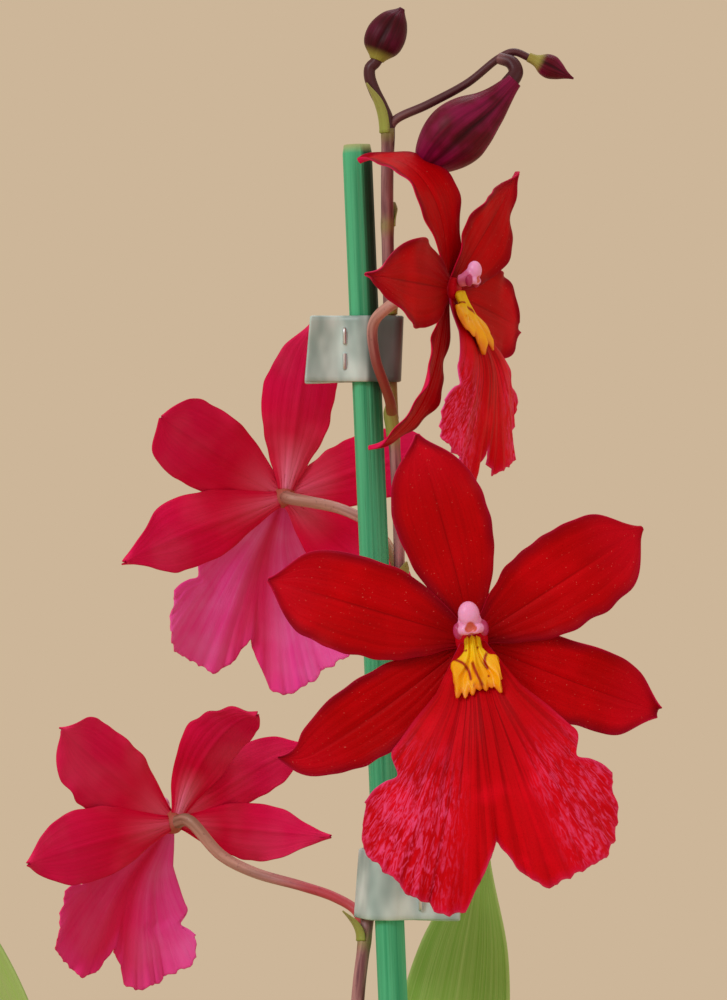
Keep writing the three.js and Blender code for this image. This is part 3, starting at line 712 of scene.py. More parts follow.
def plain_copy(start: bpy.types.Object) -> bpy.types.Object:
    """The object with its modifiers applied, as a plain mesh in its place."""
    bpy.context.view_layer.update()
    graph = bpy.context.evaluated_depsgraph_get()
    mesh = bpy.data.meshes.new_from_object(start.evaluated_get(graph))
    name = start.name
    old = start.data
    bpy.data.objects.remove(start)
    if old.users == 0:
        bpy.data.meshes.remove(old)
    mesh.name = name
    return placed(name, mesh)


# Finishes


@dataclass(frozen=True)
class Finish:
    """What a piece is made of. Each kind has its own dress method."""

    name: str
    slot: str

    def material(self) -> bpy.types.Material:
        """The material, made once."""
        known = bpy.data.materials.get(self.name)
        if known:
            return known
        made = bpy.data.materials.new(self.name)
        made.use_nodes = True
        self.dress(Paint(made.node_tree))
        return made

    def dress(self, paint: Paint) -> None:
        """Builds the material's tree."""
        raise NotImplementedError


@dataclass(frozen=True)
class PetalFinish(Finish):
    """Velvety crimson with darker veins, a thin magenta rim and pinkish backs."""

    name: str = "petal_velvet"
    slot: str = "petal"
    deep: Colour = (112, 0, 4)
    front: Colour = (186, 1, 9)
    glow: Colour = (222, 3, 20)
    rim: Colour = (176, 24, 76)
    edge: Colour = (120, 4, 26)
    tip: Colour = (218, 10, 44)
    back: Colour = (236, 24, 98)
    back_deep: Colour = (204, 10, 70)
    back_near: Colour = (216, 5, 46)
    back_foot: Colour = (255, 150, 196)
    heart: Colour = (176, 106, 86)
    speck: Colour = (255, 160, 150)

    def dress(self, paint: Paint) -> None:
        """Veins run along the petal, and a fine grain of cells covers it."""
        u, v = paint.uv()
        place, rim, tone = paint.place(), paint.mark("rim"), paint.mark("tone")
        s = abs(u * 2.0 - 1.0)
        lines = paint.noise(paint.vector(u * 30.0, v * 1.4, tone * 31.0), 1.0, 4.0)
        clouds = paint.noise(place, 95.0, 2.0)
        cells = paint.noise(place, 3600.0, 2.0)
        lit = (clouds.step(0.42, 0.7) * v.step(0.1, 0.5)) * 0.55
        rib = (1.0 - s.step(0.0, 0.05)) * (1.0 - v.step(0.5, 0.95)) * 0.45
        wide = 1.0 - rim.step(0.0, 2.2)
        base = paint.coats(
            self.deep,
            (lines.step(0.3, 0.62), self.front),
            (0.8, self.front),
            (lit, self.glow),
            (v.step(0.6, 1.0) * 0.5, self.tip),
            ((1.0 - v.step(0.0, 0.34)) * 0.55, self.deep),
            (rib, self.deep),
            (wide * (clouds.step(0.35, 0.6) * 0.5 + 0.3), self.edge),
            ((1.0 - rim.step(0.05, 0.5)) * v.step(0.15, 0.6) * 0.25, self.rim),
        )
        base = paint.mix(cells.step(0.2, 0.5) * 0.22 + 0.78, self.deep, base)
        base = paint.mix(cells.step(0.7, 0.78) * 0.35, base, self.speck)
        top = (1.0 - tone.step(0.15, 0.25)) * 0.55 + 0.3
        foot = (1.0 - v.step(0.0, 0.36)) * (1.0 - s.step(0.1, 0.9))
        under = paint.coats(
            self.back,
            (lines.step(0.25, 0.7) * 0.3, self.back_deep),
            ((1.0 - s.step(0.0, 0.08)) * v.step(0.1, 0.4) * 0.5, self.back_deep),
            ((1.0 - v.step(0.25, 0.75)) * 0.7, self.back_near),
            (foot * top, self.back_foot),
            (clouds.step(0.4, 0.75) * 0.1, self.back_foot),
            (paint.mark("heart") * 0.85, self.heart),
        )
        colour = paint.mix(paint.mark("back"), base, under)
        normal = paint.bump(lines * 0.7 + cells * 0.3, 0.12)
        paint.shade(colour, clouds * 0.2 + 0.42, normal, 0.05)


@dataclass(frozen=True)
class LipFinish(Finish):
    """Bright crimson with branching dark veins, pink mottling, a magenta margin and a painted
    highlight over its right lobe.
    """

    name: str = "lip_pattern"
    slot: str = "lip"
    deep: Colour = (116, 0, 6)
    root: Colour = (170, 2, 12)
    ground: Colour = (218, 3, 22)
    glow: Colour = (255, 10, 46)
    mottle: Colour = (250, 84, 150)
    margin: Colour = (226, 34, 104)
    back: Colour = (255, 70, 182)
    back_deep: Colour = (230, 10, 76)
    back_pale: Colour = (255, 156, 236)

    def dress(self, paint: Paint) -> None:
        """The pattern fans out from the root, between the veins."""
        fan, reach, place = paint.mark("fan"), paint.mark("reach"), paint.place()
        back, rim = paint.mark("back"), paint.mark("rim")
        aside = abs(fan)
        veins = paint.noise(paint.vector(fan * 22.0, reach * 0.03, 0.0), 1.0, 3.0, 0.15)
        fine = paint.noise(paint.vector(fan * 52.0, reach * 0.42, 3.0), 1.0, 3.0, 1.3)
        clouds = paint.noise(place, 130.0, 2.0)
        cells = paint.noise(place, 3000.0, 2.0)
        right = 1.0 - fan.step(-0.45, -0.05)
        streaks = (1.0 - veins.step(0.4, 0.52)) * (1.0 - reach.step(14.0, 27.0))
        plain = right * (1.0 - aside.step(0.28, 0.55))
        spread = reach.step(13.0, 27.0) * (paint.mark("parted") - plain).held()
        flecks = (fine + clouds * 0.25).step(0.56, 0.82)
        side = (1.0 - rim.step(0.2, 1.8)) * reach.step(6.0, 18.0)
        border = (1.0 - rim.step(0.05, 0.5)) * reach.step(18.0, 26.0)
        base = paint.coats(
            self.deep,
            (veins.step(0.32, 0.6), self.ground),
            (0.6, self.ground),
            (clouds.step(0.45, 0.75) * 0.6, self.glow),
            # Painted highlight: the right lobe is lightened away from the root, as if more
            # strongly lit.
            (right * reach.step(10.0, 20.0) * 0.3, self.glow),
            ((1.0 - reach.step(9.0, 24.0)) * 0.45, self.root),
            (streaks * (0.5 - aside.step(0.3, 0.7) * 0.4), self.deep),
            (flecks * spread * 0.85, self.mottle),
            (side * 0.25, self.margin),
            (border * 0.3, self.mottle),
        )
        base = paint.mix(cells.step(0.2, 0.5) * 0.2 + 0.8, self.deep, base)
        under = paint.coats(
            self.back,
            (veins.step(0.2, 0.8) * 0.3 + clouds.step(0.35, 0.7) * 0.3, self.back_pale),
            ((1.0 - aside.step(0.05, 0.4)) * 0.75, self.back_deep),
            (paint.mark("shade"), self.back_deep),
            ((1.0 - rim.step(0.2, 5.0)) * 0.3, self.back),
        )
        colour = paint.mix(back, base, under)
        height = veins * (0.6 - back * 0.4) + fine * 0.25 + cells * 0.15
        paint.shade(colour, clouds * 0.2 + 0.4, paint.bump(height, 0.22), 0.06)


@dataclass(frozen=True)
class CrestFinish(Finish):
    """Waxy yellow, deeper towards its fingers, with red-brown streaks."""

    name: str = "crest_wax"
    slot: str = "crest"
    bright: Colour = (255, 224, 24)
    deep: Colour = (255, 182, 4)
    streak: Colour = (168, 8, 0)
    foot: Colour = (226, 66, 12)

    def dress(self, paint: Paint) -> None:
        """The streaks come from a value of the mesh."""
        _, v = paint.uv()
        grain = paint.noise(paint.place(), 900.0, 3.0)
        base = paint.coats(
            self.bright,
            ((v + grain * 0.3 - 0.15).step(0.15, 0.75), self.deep),
            (paint.mark("foot"), self.foot),
            (paint.mark("streak"), self.streak),
        )
        paint.shade(
            base, grain * 0.2 + 0.3, paint.bump(grain, 0.15), 0.4,
            Subsurface_Weight=0.15, Subsurface_Radius=(1.0, 0.5, 0.1), Subsurface_Scale=0.001,
        )


@dataclass(frozen=True)
class ColumnFinish(Finish):
    """Pearly pink with a lilac cap and a red hollow."""

    name: str = "column_pearl"
    slot: str = "column"
    body: Colour = (230, 116, 172)
    cap: Colour = (250, 174, 234)
    wing: Colour = (184, 44, 108)
    hollow: Colour = (228, 112, 100)

    def dress(self, paint: Paint) -> None:
        """The cap, the wings and the hollow are values of the mesh."""
        grain = paint.noise(paint.place(), 1400.0, 3.0)
        base = paint.mix(grain.step(0.3, 0.7) * 0.3, self.body, self.cap)
        for part in ("wing", "cap", "hollow"):
            base = paint.mix(paint.mark(part), base, getattr(self, part))
        paint.shade(
            base, grain * 0.15 + 0.25, paint.bump(grain, 0.06), 0.45,
            Subsurface_Weight=0.25, Subsurface_Radius=(1.0, 0.5, 0.6), Subsurface_Scale=0.0012,
        )


@dataclass(frozen=True)
class BudFinish(Finish):
    """Dark wine purple, redder on its cheeks, with fine lengthwise veins."""

    name: str = "bud_wine"
    slot: str = "bud"
    dark: Colour = (38, 1, 12)
    wine: Colour = (100, 3, 34)
    cheek: Colour = (134, 14, 74)
    tip_green: Colour = (176, 178, 84)

    def dress(self, paint: Paint) -> None:
        """Veins run from base to tip, and the seams are darkest."""
        u, v = paint.uv()
        veins = paint.noise(paint.vector(u * 40.0, v * 2.0, 0.0), 1.0, 3.0)
        clouds = paint.noise(paint.place(), 220.0, 2.0)
        base = paint.mix(clouds.step(0.35, 0.65), self.wine, self.cheek)
        base = paint.coats(
            paint.mix(veins.step(0.3, 0.6) * 0.5 + 0.5, self.dark, base),
            (paint.mark("seam"), self.dark),
            (paint.mark("shade"), self.dark),
            (paint.mark("green"), self.tip_green),
        )
        paint.shade(base, clouds * 0.15 + 0.38, paint.bump(veins, 0.12), 0.16)


@dataclass(frozen=True)
class StemFinish(Finish):
    """Dusky purple-pink over green, with green bracts and nodes."""

    name: str = "stem_purple"
    slot: str = "stem"
    green: Colour = (152, 170, 74)
    pale: Colour = (188, 142, 146)
    purple: Colour = (112, 58, 74)
    dark: Colour = (66, 10, 30)
    rust: Colour = (140, 50, 32)
    rose: Colour = (204, 62, 84)
    tan: Colour = (190, 150, 116)
    light: Colour = (226, 176, 160)

    def dress(self, paint: Paint) -> None:
        """Long streaks of purple over a paler ground."""
        u, _ = paint.uv()
        streaks = paint.noise(paint.vector(u * 7.0, paint.mark("along") * 0.09, 0.0), 1.0, 3.0)
        dots = paint.noise(paint.place(), 1500.0, 2.0)
        base = paint.mix(streaks.step(0.3, 0.7), self.purple, self.pale)
        for name in ("dark", "rust", "rose", "tan", "light"):
            base = paint.mix(paint.mark(name), base, getattr(self, name))
        base = paint.mix(paint.mark("green") * (streaks * 0.4 + 0.75).held(), base, self.green)
        base = paint.mix(dots.step(0.62, 0.72) * 0.35, base, self.purple)
        height = streaks * 0.8 + dots * 0.2
        paint.shade(base, dots * 0.2 + 0.35, paint.bump(height, 0.12), 0.4)


@dataclass(frozen=True)
class LeafFinish(Finish):
    """Fresh green with parallel veins, a paler rib and a lighter underside."""

    name: str = "leaf_green"
    slot: str = "leaf"
    dark: Colour = (100, 150, 48)
    green: Colour = (154, 210, 100)
    pale: Colour = (180, 216, 134)
    under: Colour = (164, 200, 124)
    dry: Colour = (150, 118, 60)

    def dress(self, paint: Paint) -> None:
        """Veins keep their place across the leaf from base to tip."""
        u, v = paint.uv()
        place, s = paint.place(), abs(u * 2.0 - 1.0)
        veins = paint.noise(paint.vector(u * 58.0, v * 0.9, paint.mark("tone") * 17.0), 1.0, 3.0)
        clouds = paint.noise(place, 26.0, 3.0)
        grain = paint.noise(place, 900.0, 2.0)
        base = paint.coats(
            self.dark,
            (clouds.step(0.3, 0.72), self.green),
            (veins.step(0.3, 0.7) * 0.55, self.pale),
            ((1.0 - s.step(0.0, 0.05)) * 0.6, self.pale),
            (v.step(0.6, 1.0) * 0.25, self.dark),
        )
        under = paint.mix(veins.step(0.35, 0.65) * 0.6, self.under, self.green)
        colour = paint.coats(
            paint.mix(paint.mark("back"), base, under),
            ((1.0 - paint.mark("rim").step(0.05, 0.5)) * 0.4, self.pale),
            (v.step(0.985, 1.0), self.dry),
        )
        normal = paint.bump(veins * 0.8 + grain * 0.2, 0.14)
        paint.shade(colour, grain * 0.15 + 0.33, normal, 0.4)


@dataclass(frozen=True)
class BulbFinish(Finish):
    """Smooth olive green with lengthwise ribs, speckles and a yellower foot."""

    name: str = "bulb_green"
    slot: str = "bulb"
    green: Colour = (118, 148, 54)
    olive: Colour = (86, 112, 34)
    yellow: Colour = (172, 176, 88)
    speck: Colour = (84, 66, 32)

    def dress(self, paint: Paint) -> None:
        """Ribs shade the bulb, and old specks gather near its foot."""
        u, v = paint.uv()
        place = paint.place()
        lines = paint.noise(paint.vector(u * 34.0, v * 1.6, 0.0), 1.0, 3.0)
        clouds = paint.noise(place, 60.0, 3.0)
        base = paint.coats(
            self.olive,
            (clouds.step(0.35, 0.65), self.green),
            (lines.step(0.35, 0.7) * 0.4, self.yellow),
            ((1.0 - v.step(0.0, 0.35)) * 0.55, self.yellow),
            (paint.noise(place, 900.0, 2.0).step(0.66, 0.74) * 0.7, self.speck),
        )
        paint.shade(base, clouds * 0.15 + 0.3, paint.bump(lines, 0.25), 0.45)


@dataclass(frozen=True)
class RootFinish(Finish):
    """Silvery roots with a green blush and brown scars."""

    name: str = "root_silver"
    slot: str = "root"
    silver: Colour = (186, 184, 166)
    green: Colour = (136, 150, 96)
    brown: Colour = (112, 88, 58)

    def dress(self, paint: Paint) -> None:
        """Clouds of green and brown over silver."""
        place = paint.place()
        spots = paint.noise(place, 420.0, 3.0)
        base = paint.coats(
            self.silver,
            (paint.noise(place, 170.0, 3.0).step(0.45, 0.7), self.green),
            (spots.step(0.58, 0.7) * 0.7, self.brown),
        )
        paint.shade(base, spots * 0.2 + 0.7, paint.bump(spots, 0.3), 0.25)


@dataclass(frozen=True)
class BarkFinish(Finish):
    """Rough bark chips, each of its own brown, with fissures and dust."""

    name: str = "bark_brown"
    slot: str = "bark"
    dark: Colour = (52, 28, 15)
    brown: Colour = (116, 70, 38)
    tan: Colour = (166, 116, 72)
    dust: Colour = (120, 108, 92)

    def dress(self, paint: Paint) -> None:
        """Layers run through each chip, and its colour is a value of the mesh."""
        place, chip = paint.place(), paint.mark("chip")
        layers = paint.noise(place, 300.0, 5.0, 0.8)
        cracks = paint.noise(place, 900.0, 4.0, 1.5)
        base = paint.mix(chip, self.dark, self.tan)
        base = paint.coats(
            paint.mix(layers.step(0.3, 0.62) * 0.75, self.dark, base),
            (chip.step(0.2, 0.9) * 0.45, self.brown),
            (cracks.step(0.58, 0.72) * 0.5, self.dust),
        )
        height = layers * 0.7 + cracks * 0.3
        paint.shade(base, layers * 0.15 + 0.8, paint.bump(height, 0.9), 0.2)


@dataclass(frozen=True)
class PotFinish(Finish):
    """Plain stone-grey moulded plastic with a fine grain and a few water marks."""

    name: str = "pot_grey"
    slot: str = "pot_plastic"
    grey: Colour = (186, 178, 166)
    worn: Colour = (204, 198, 188)
    stain: Colour = (142, 132, 116)

    def dress(self, paint: Paint) -> None:
        """Faint upright streaks and a fine grain."""
        place = paint.place()
        split = paint.node("ShaderNodeSeparateXYZ", inputs={0: place})
        z = split.out(2)
        streaks = paint.noise(paint.vector(split * 30.0, split.out(1) * 30.0, z * 12.0), 1.0, 2.0)
        grain = paint.noise(place, 2600.0, 2.0)
        base = paint.coats(
            self.grey,
            (streaks.step(0.3, 0.75) * 0.5, self.worn),
            ((1.0 - z.step(0.0, 0.03)) * streaks.step(0.4, 0.6) * 0.25, self.stain),
        )
        paint.shade(base, streaks * 0.2 + 0.42, paint.bump(grain, 0.06), 0.4)


@dataclass(frozen=True)
class StakeFinish(Finish):
    """Dyed cane: bright green, with darker grooves along its grain, a painted highlight down its
    left side and painted shade high on its right side.
    """

    name: str = "cane_green"
    slot: str = "stake_wood"
    green: Colour = (46, 166, 120)
    pale: Colour = (86, 200, 152)
    dark: Colour = (16, 80, 56)
    painted_shade: Colour = (10, 44, 28)
    wood: Colour = (176, 186, 128)

    def dress(self, paint: Paint) -> None:
        """Fine grooves run the whole length."""
        u, v = paint.uv()
        grain = paint.noise(paint.vector(u * 26.0, v * 7.0, 0.0), 1.0, 4.0)
        fine = paint.noise(paint.vector(u * 90.0, v * 34.0, 4.0), 1.0, 3.0)
        base = paint.coats(
            self.green,
            (grain.step(0.3, 0.66), self.pale),
            # Painted highlight: the left side is made paler, as if lit from the left.
            (paint.mark("left") * 0.6, self.pale),
            ((1.0 - grain.step(0.24, 0.4)) * 0.6, self.dark),
            (fine.step(0.62, 0.74) * 0.3, self.dark),
            # Painted shade: the right side of the upper part is darkened, as if in shade.
            (paint.mark("right") * (grain * 0.5 + 0.65).held(), self.painted_shade),
            (paint.mark("cut"), self.wood),
        )
        height = grain * 0.7 + fine * 0.3
        paint.shade(base, grain * 0.2 + 0.42, paint.bump(height, 0.2), 0.3)


@dataclass(frozen=True)
class TapeFinish(Finish):
    """Satin tape of a pale grey-green, with soft bands towards near white that are painted
    reflection.
    """

    name: str = "tape_satin"
    slot: str = "tie_tape"
    pale: Colour = (220, 248, 252)
    grey: Colour = (142, 176, 178)
    shadow: Colour = (62, 78, 72)

    def dress(self, paint: Paint) -> None:
        """Soft bands of painted reflection across the tape, and a slightly uneven gloss."""
        u, v = paint.uv()
        clouds = paint.noise(paint.vector(u * 0.9, v * 7.0, 0.0), 1.0, 2.0)
        rubs = paint.noise(paint.place(), 260.0, 3.0)
        # The grey is the tape's own colour. Its mix towards near white is painted reflection.
        base = paint.mix(clouds.step(0.3, 0.7), self.grey, self.pale)
        base = paint.mix(paint.mark("shadow"), base, self.shadow)
        paint.shade(base, rubs * 0.16 + 0.26, paint.bump(clouds, 0.05), 0.35)


@dataclass(frozen=True)
class WireFinish(Finish):
    """Bright steel wire with fine draw marks."""

    name: str = "steel_wire"
    slot: str = "staple_wire"
    steel: Colour = (236, 240, 246)
    shade_of: Colour = (190, 196, 204)

    def dress(self, paint: Paint) -> None:
        """Draw marks run along the wire."""
        u, v = paint.uv()
        marks = paint.noise(paint.vector(u * 18.0, v * 3.0, 0.0), 1.0, 3.0)
        base = paint.mix(marks.step(0.3, 0.7), self.shade_of, self.steel)
        paint.shade(base, marks * 0.15 + 0.3, paint.bump(marks, 0.02), 0.5, Metallic=1.0)


@dataclass(frozen=True)
class FloorFinish(Finish):
    """A plain pale floor."""

    name: str = "floor_plain"
    slot: str = ""
    pale: Colour = (214, 192, 164)
    dull: Colour = (198, 176, 148)

    def dress(self, paint: Paint) -> None:
        """A faint unevenness keeps it from looking blank."""
        clouds = paint.noise(paint.place(), 2.0, 2.0)
        base = paint.mix(clouds * 0.15, self.pale, self.dull)
        paint.shade(base, 0.8, None, 0.1)


def show(piece: bpy.types.Object, finish: Finish, *nodes: str) -> bpy.types.Object:
    """Rides a finished piece on the plant's body and reports it.

    Args:
        piece: The piece.
        finish: What it is made of. It is not used.
        *nodes: The solids that it stands for.

    Returns:
        The piece.
    """
    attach(piece, BODY)
    if nodes:
        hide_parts(*nodes)
    piece.data.calc_loop_triangles()
    log.info("%s: %d triangles, for %s", piece.name, len(piece.data.loop_triangles), nodes or "-")
    return piece


# Blooms


FRONT = np.array([0.0, 0.0, 1.0])
PETAL_TONES = tuple(0.13 + 0.17 * k for k in range(5))


def clock_ways(angle: float) -> tuple[Array, Array]:
    """The way out at an angle clockwise from the top, and the clockwise way across it."""
    sine, cosine = math.sin(math.radians(angle)), math.cos(math.radians(angle))
    return np.array([sine, cosine, 0.0]), np.array([cosine, -sine, 0.0])


class Outline(Enum):
    """The kinds of petal: half widths from base to tip, with the left side first."""

    SEPAL = ((0.22, 0.54, 0.86, 1, 0.97, 0.68, 0.04),) * 2
    PETAL = ((0.22, 0.6, 0.92, 1, 0.98, 0.76, 0.04), (0.22, 0.6, 0.9, 1, 1, 0.78, 0.04))
    NARROW = ((0.22, 0.56, 0.88, 1, 0.94, 0.62, 0.04), (0.22, 0.56, 0.88, 1, 0.94, 0.62, 0.041))
    POINTED = ((0.22, 0.56, 0.88, 1, 0.9, 0.42, 0.04),) * 2
    LEANING = (
        (0.2, 0.44, 0.76, 0.94, 0.95, 0.7, 0.04), (0.24, 0.56, 0.86, 0.98, 0.95, 0.66, 0.04),
    )
    TAPERED = ((0.3, 0.7, 0.97, 0.98, 0.68, 0.26, 0.03),) * 2
    ONE_SIDED = (
        (0.22, 0.52, 0.74, 0.76, 0.54, 0.24, 0.02), (0.22, 0.6, 0.94, 1, 0.84, 0.42, 0.03),
    )
    BLUNT = ((0.22, 0.56, 0.86, 0.96, 0.98, 0.8, 0.12), (0.22, 0.56, 0.88, 1, 0.96, 0.86, 0.14))


@dataclass(frozen=True)
class Petal:
    """One petal or sepal, in its bloom's own frame, in millimetres and degrees."""

    outline: Outline
    angle: float
    length: float
    width: float
    lift: float
    curl: float
    foot: float = 0
    bend: float = 1.5
    sweep: float = 0
    hook: float = 0
    twist: float = 0
    phase: float = 0
    cup: float = 0.12
    wave: float = 0.5
    waves: float = 2.3
    rib_depth: float = 0.3
    vein_depth: float = 0.05
    thick: float = 0.55
    thin: float = 0.28

    def _heading(self, t: Array) -> Array:
        """The way that the rib runs at t."""
        out, clockwise = clock_ways(self.angle)
        slope = np.radians(self.lift + self.curl * t**self.bend)[..., None]
        turn = np.radians(self.sweep * t + self.hook * ramp(t, 0.8, 1))[..., None]
        flat = out * np.cos(turn) + clockwise * np.sin(turn)
        return flat * np.cos(slope) + FRONT * np.sin(slope)

    def surface(self) -> Surface:
        """The petal's middle surface, with its creased rib and its ruffled edge."""
        out, clockwise = clock_ways(self.angle)
        steps = 96
        middles = (np.arange(steps) + 0.5) / steps
        start = out * 1.2 + FRONT * self.foot
        walk = np.cumsum(self._heading(middles), axis=0) * self.length / steps
        rib = np.vstack([start, start + walk])
        shares = np.linspace(0, 1, steps + 1)
        seed = int(abs(self.angle) * 10 + self.length * 7 + self.width)

        def at(s: Array, t: Array) -> Array:
            """A point of the surface."""
            t = np.clip(t, 0, 1)
            ahead = self._heading(t)
            flat = unit(clockwise - ahead * (ahead @ clockwise)[..., None])
            face = np.cross(flat, ahead)
            twist = np.radians(self.twist * t)
            side, up = turned(flat, ahead, twist), turned(face, ahead, twist)
            left, right = self.outline.value
            is_left = s < 0
            half = self.width / 2 * np.where(is_left, profile(left, t), profile(right, t))
            nick = np.where(is_left, ripple(t, seed, 2, 9), ripple(t, seed + 1, 2, 9))
            half = half * (1 + 0.014 * nick * np.abs(s) ** 3)
            edge = np.abs(s) ** 3 * np.minimum(1, 3 * t)
            ruffle = self.wave * np.sin(2 * math.pi * self.waves * t + self.phase * np.sign(s))
            uneven = np.where(is_left, ripple(t, seed + 2, 2, 7), ripple(t, seed + 3, 2, 7))
            ruffle = ruffle + 0.22 * uneven
            crease = -self.rib_depth * np.exp(-((s / 0.075) ** 2)) * np.sin(math.pi * t**0.7)
            veins = self.vein_depth * np.cos(24 * s + 2 * np.sin(3 * t)) * (1 - t**4)
            rise = self.cup * half * s * s + edge * ruffle + crease + veins
            point = np.stack([np.interp(t, shares, rib[:, k]) for k in range(3)], axis=-1)
            return point + side * (s * half)[..., None] + up * rise[..., None]

        return at

    def thickness(self, s: Array, t: Array) -> Array:
        """Thick at the base and along the rib, thin at the edge."""
        middle = 1 - np.abs(s) ** 2
        return self.thin + (self.thick - self.thin) * middle * (1 - 0.5 * t)


LIP_LEFT = (29.6, 36.2, 41, 40.6, 39, 37.6, 36.5, 34.4, 29.2)
LIP_RIGHT = (29.6, 34.5, 38.2, 38.2, 37.7, 38.3, 35.8, 32.7, 28.5)
LIP_SPREAD = (*[47] * 7, 46.8, 46.3, 45.8, 45, 38, 40.5, *[42] * 6)
SPREAD_REACH = 37
LIP_SLOPE = (28, 36, 32, 16, 2, -2, -4, -5, -6, -6)


@dataclass(frozen=True)
class Lip:
    """The fan-shaped lip, in its bloom's own frame. lobes scales its left and right half."""

    size: float = 1
    angle: float = 180
    reflex: float = 0.2
    reach: float = 42
    lobes: tuple[float, float] = (1, 1)
    claw_half: float = 1.9
    claw_back: float = 1.1
    claw_length: float = 9
    place: Point = (0, -1.5, 2.1)
    thick: float = 0.6
    thin: float = 0.3
    cell: float = 0.8
    gap: float = 0.3

    def _rises(self) -> tuple[Array, Array]:
        """The fall, and how far the lip stands forward at it."""
        steps = 120
        falls = np.linspace(0, self.reach, steps + 1)
        slopes = np.radians(profile(LIP_SLOPE, (np.arange(steps) + 0.5) / steps))
        rises = np.concatenate([[0], np.cumsum(np.tan(slopes)) * self.reach / steps])
        return falls, rises

    def _rim(self, s: Array) -> Array:
        """The distance from the root of the edge at s, without its fringe."""
        rim = np.where(s > 0, profile(LIP_LEFT, np.abs(s)), profile(LIP_RIGHT, np.abs(s)))
        left, right = self.lobes
        return rim * (right + (left - right) * ramp(s, -0.12, 0.12))

    def radius_at(self, s: Array, t: Array) -> Array:
        """The distance from the root, along the lip, of a point at s and t."""
        ragged = ripple(s, 11, 3, 9) * 0.35 + ripple(s, 12, 9, 26) * 0.16
        return t * (self._rim(s) + ragged * ramp(t, 0.5, 1))

    def fan_at(self, s: Array, t: Array) -> Array:
        """The way out of the root of a point at s and t: -1 and 1 at the widest spread."""
        return s * profile(LIP_SPREAD, self.radius_at(s, t) / SPREAD_REACH) / LIP_SPREAD[0]

    def surface(self, fine: bool = True) -> Surface:
        """The lip's middle surface.

        Args:
            fine: Whether it has its fine pleats and its frilled edge.

        Returns:
            The surface.
        """
        down, side = clock_ways(self.angle)
        falls, rises = self._rises()

        def at(s: Array, t: Array) -> Array:
            """A point of the surface."""
            radius = self.radius_at(s, t) if fine else t * self._rim(s)
            spread = np.radians(s * profile(LIP_SPREAD, radius / SPREAD_REACH))
            claw = np.maximum(0, 1 - radius / self.claw_length)
            across = radius * np.sin(spread) + s * self.claw_half * claw
            fall = radius * np.cos(spread) - self.claw_back * claw
            rise = np.interp(np.clip(fall + self.claw_back, 0, self.reach), falls, rises)
            rise = rise + 0.45 * np.cos(9 * s) * np.sin(math.pi * np.minimum(1, t * 1.1))
            rise = rise - 1.6 * np.exp(-((s / 0.12) ** 2)) * t**3
            rise = rise + 1.1 * t**4 * np.sin(11 * s + 1) - self.reflex * across * across / 12
            if fine:
                fan = self.fan_at(s, t)
                folds = np.cos(34 * fan + np.sin(5 * fan)) * ramp(t, 0.15, 0.5) * (1 - 0.4 * t)
                frill = (0.5 * ripple(s, 13, 3, 8) + 0.25 * ripple(s, 14, 8, 20)) * t**6
                rise = rise + 0.11 * folds + frill
            point = down * fall[..., None] + side * across[..., None] + FRONT * rise[..., None]
            return point * self.size + np.asarray(self.place)

        return at

    def thickness(self, s: Array, t: Array) -> Array:
        """Thick at the root, thin at the edge."""
        return self.thin + (self.thick - self.thin) * (1 - t) * (1 - 0.5 * s * s)


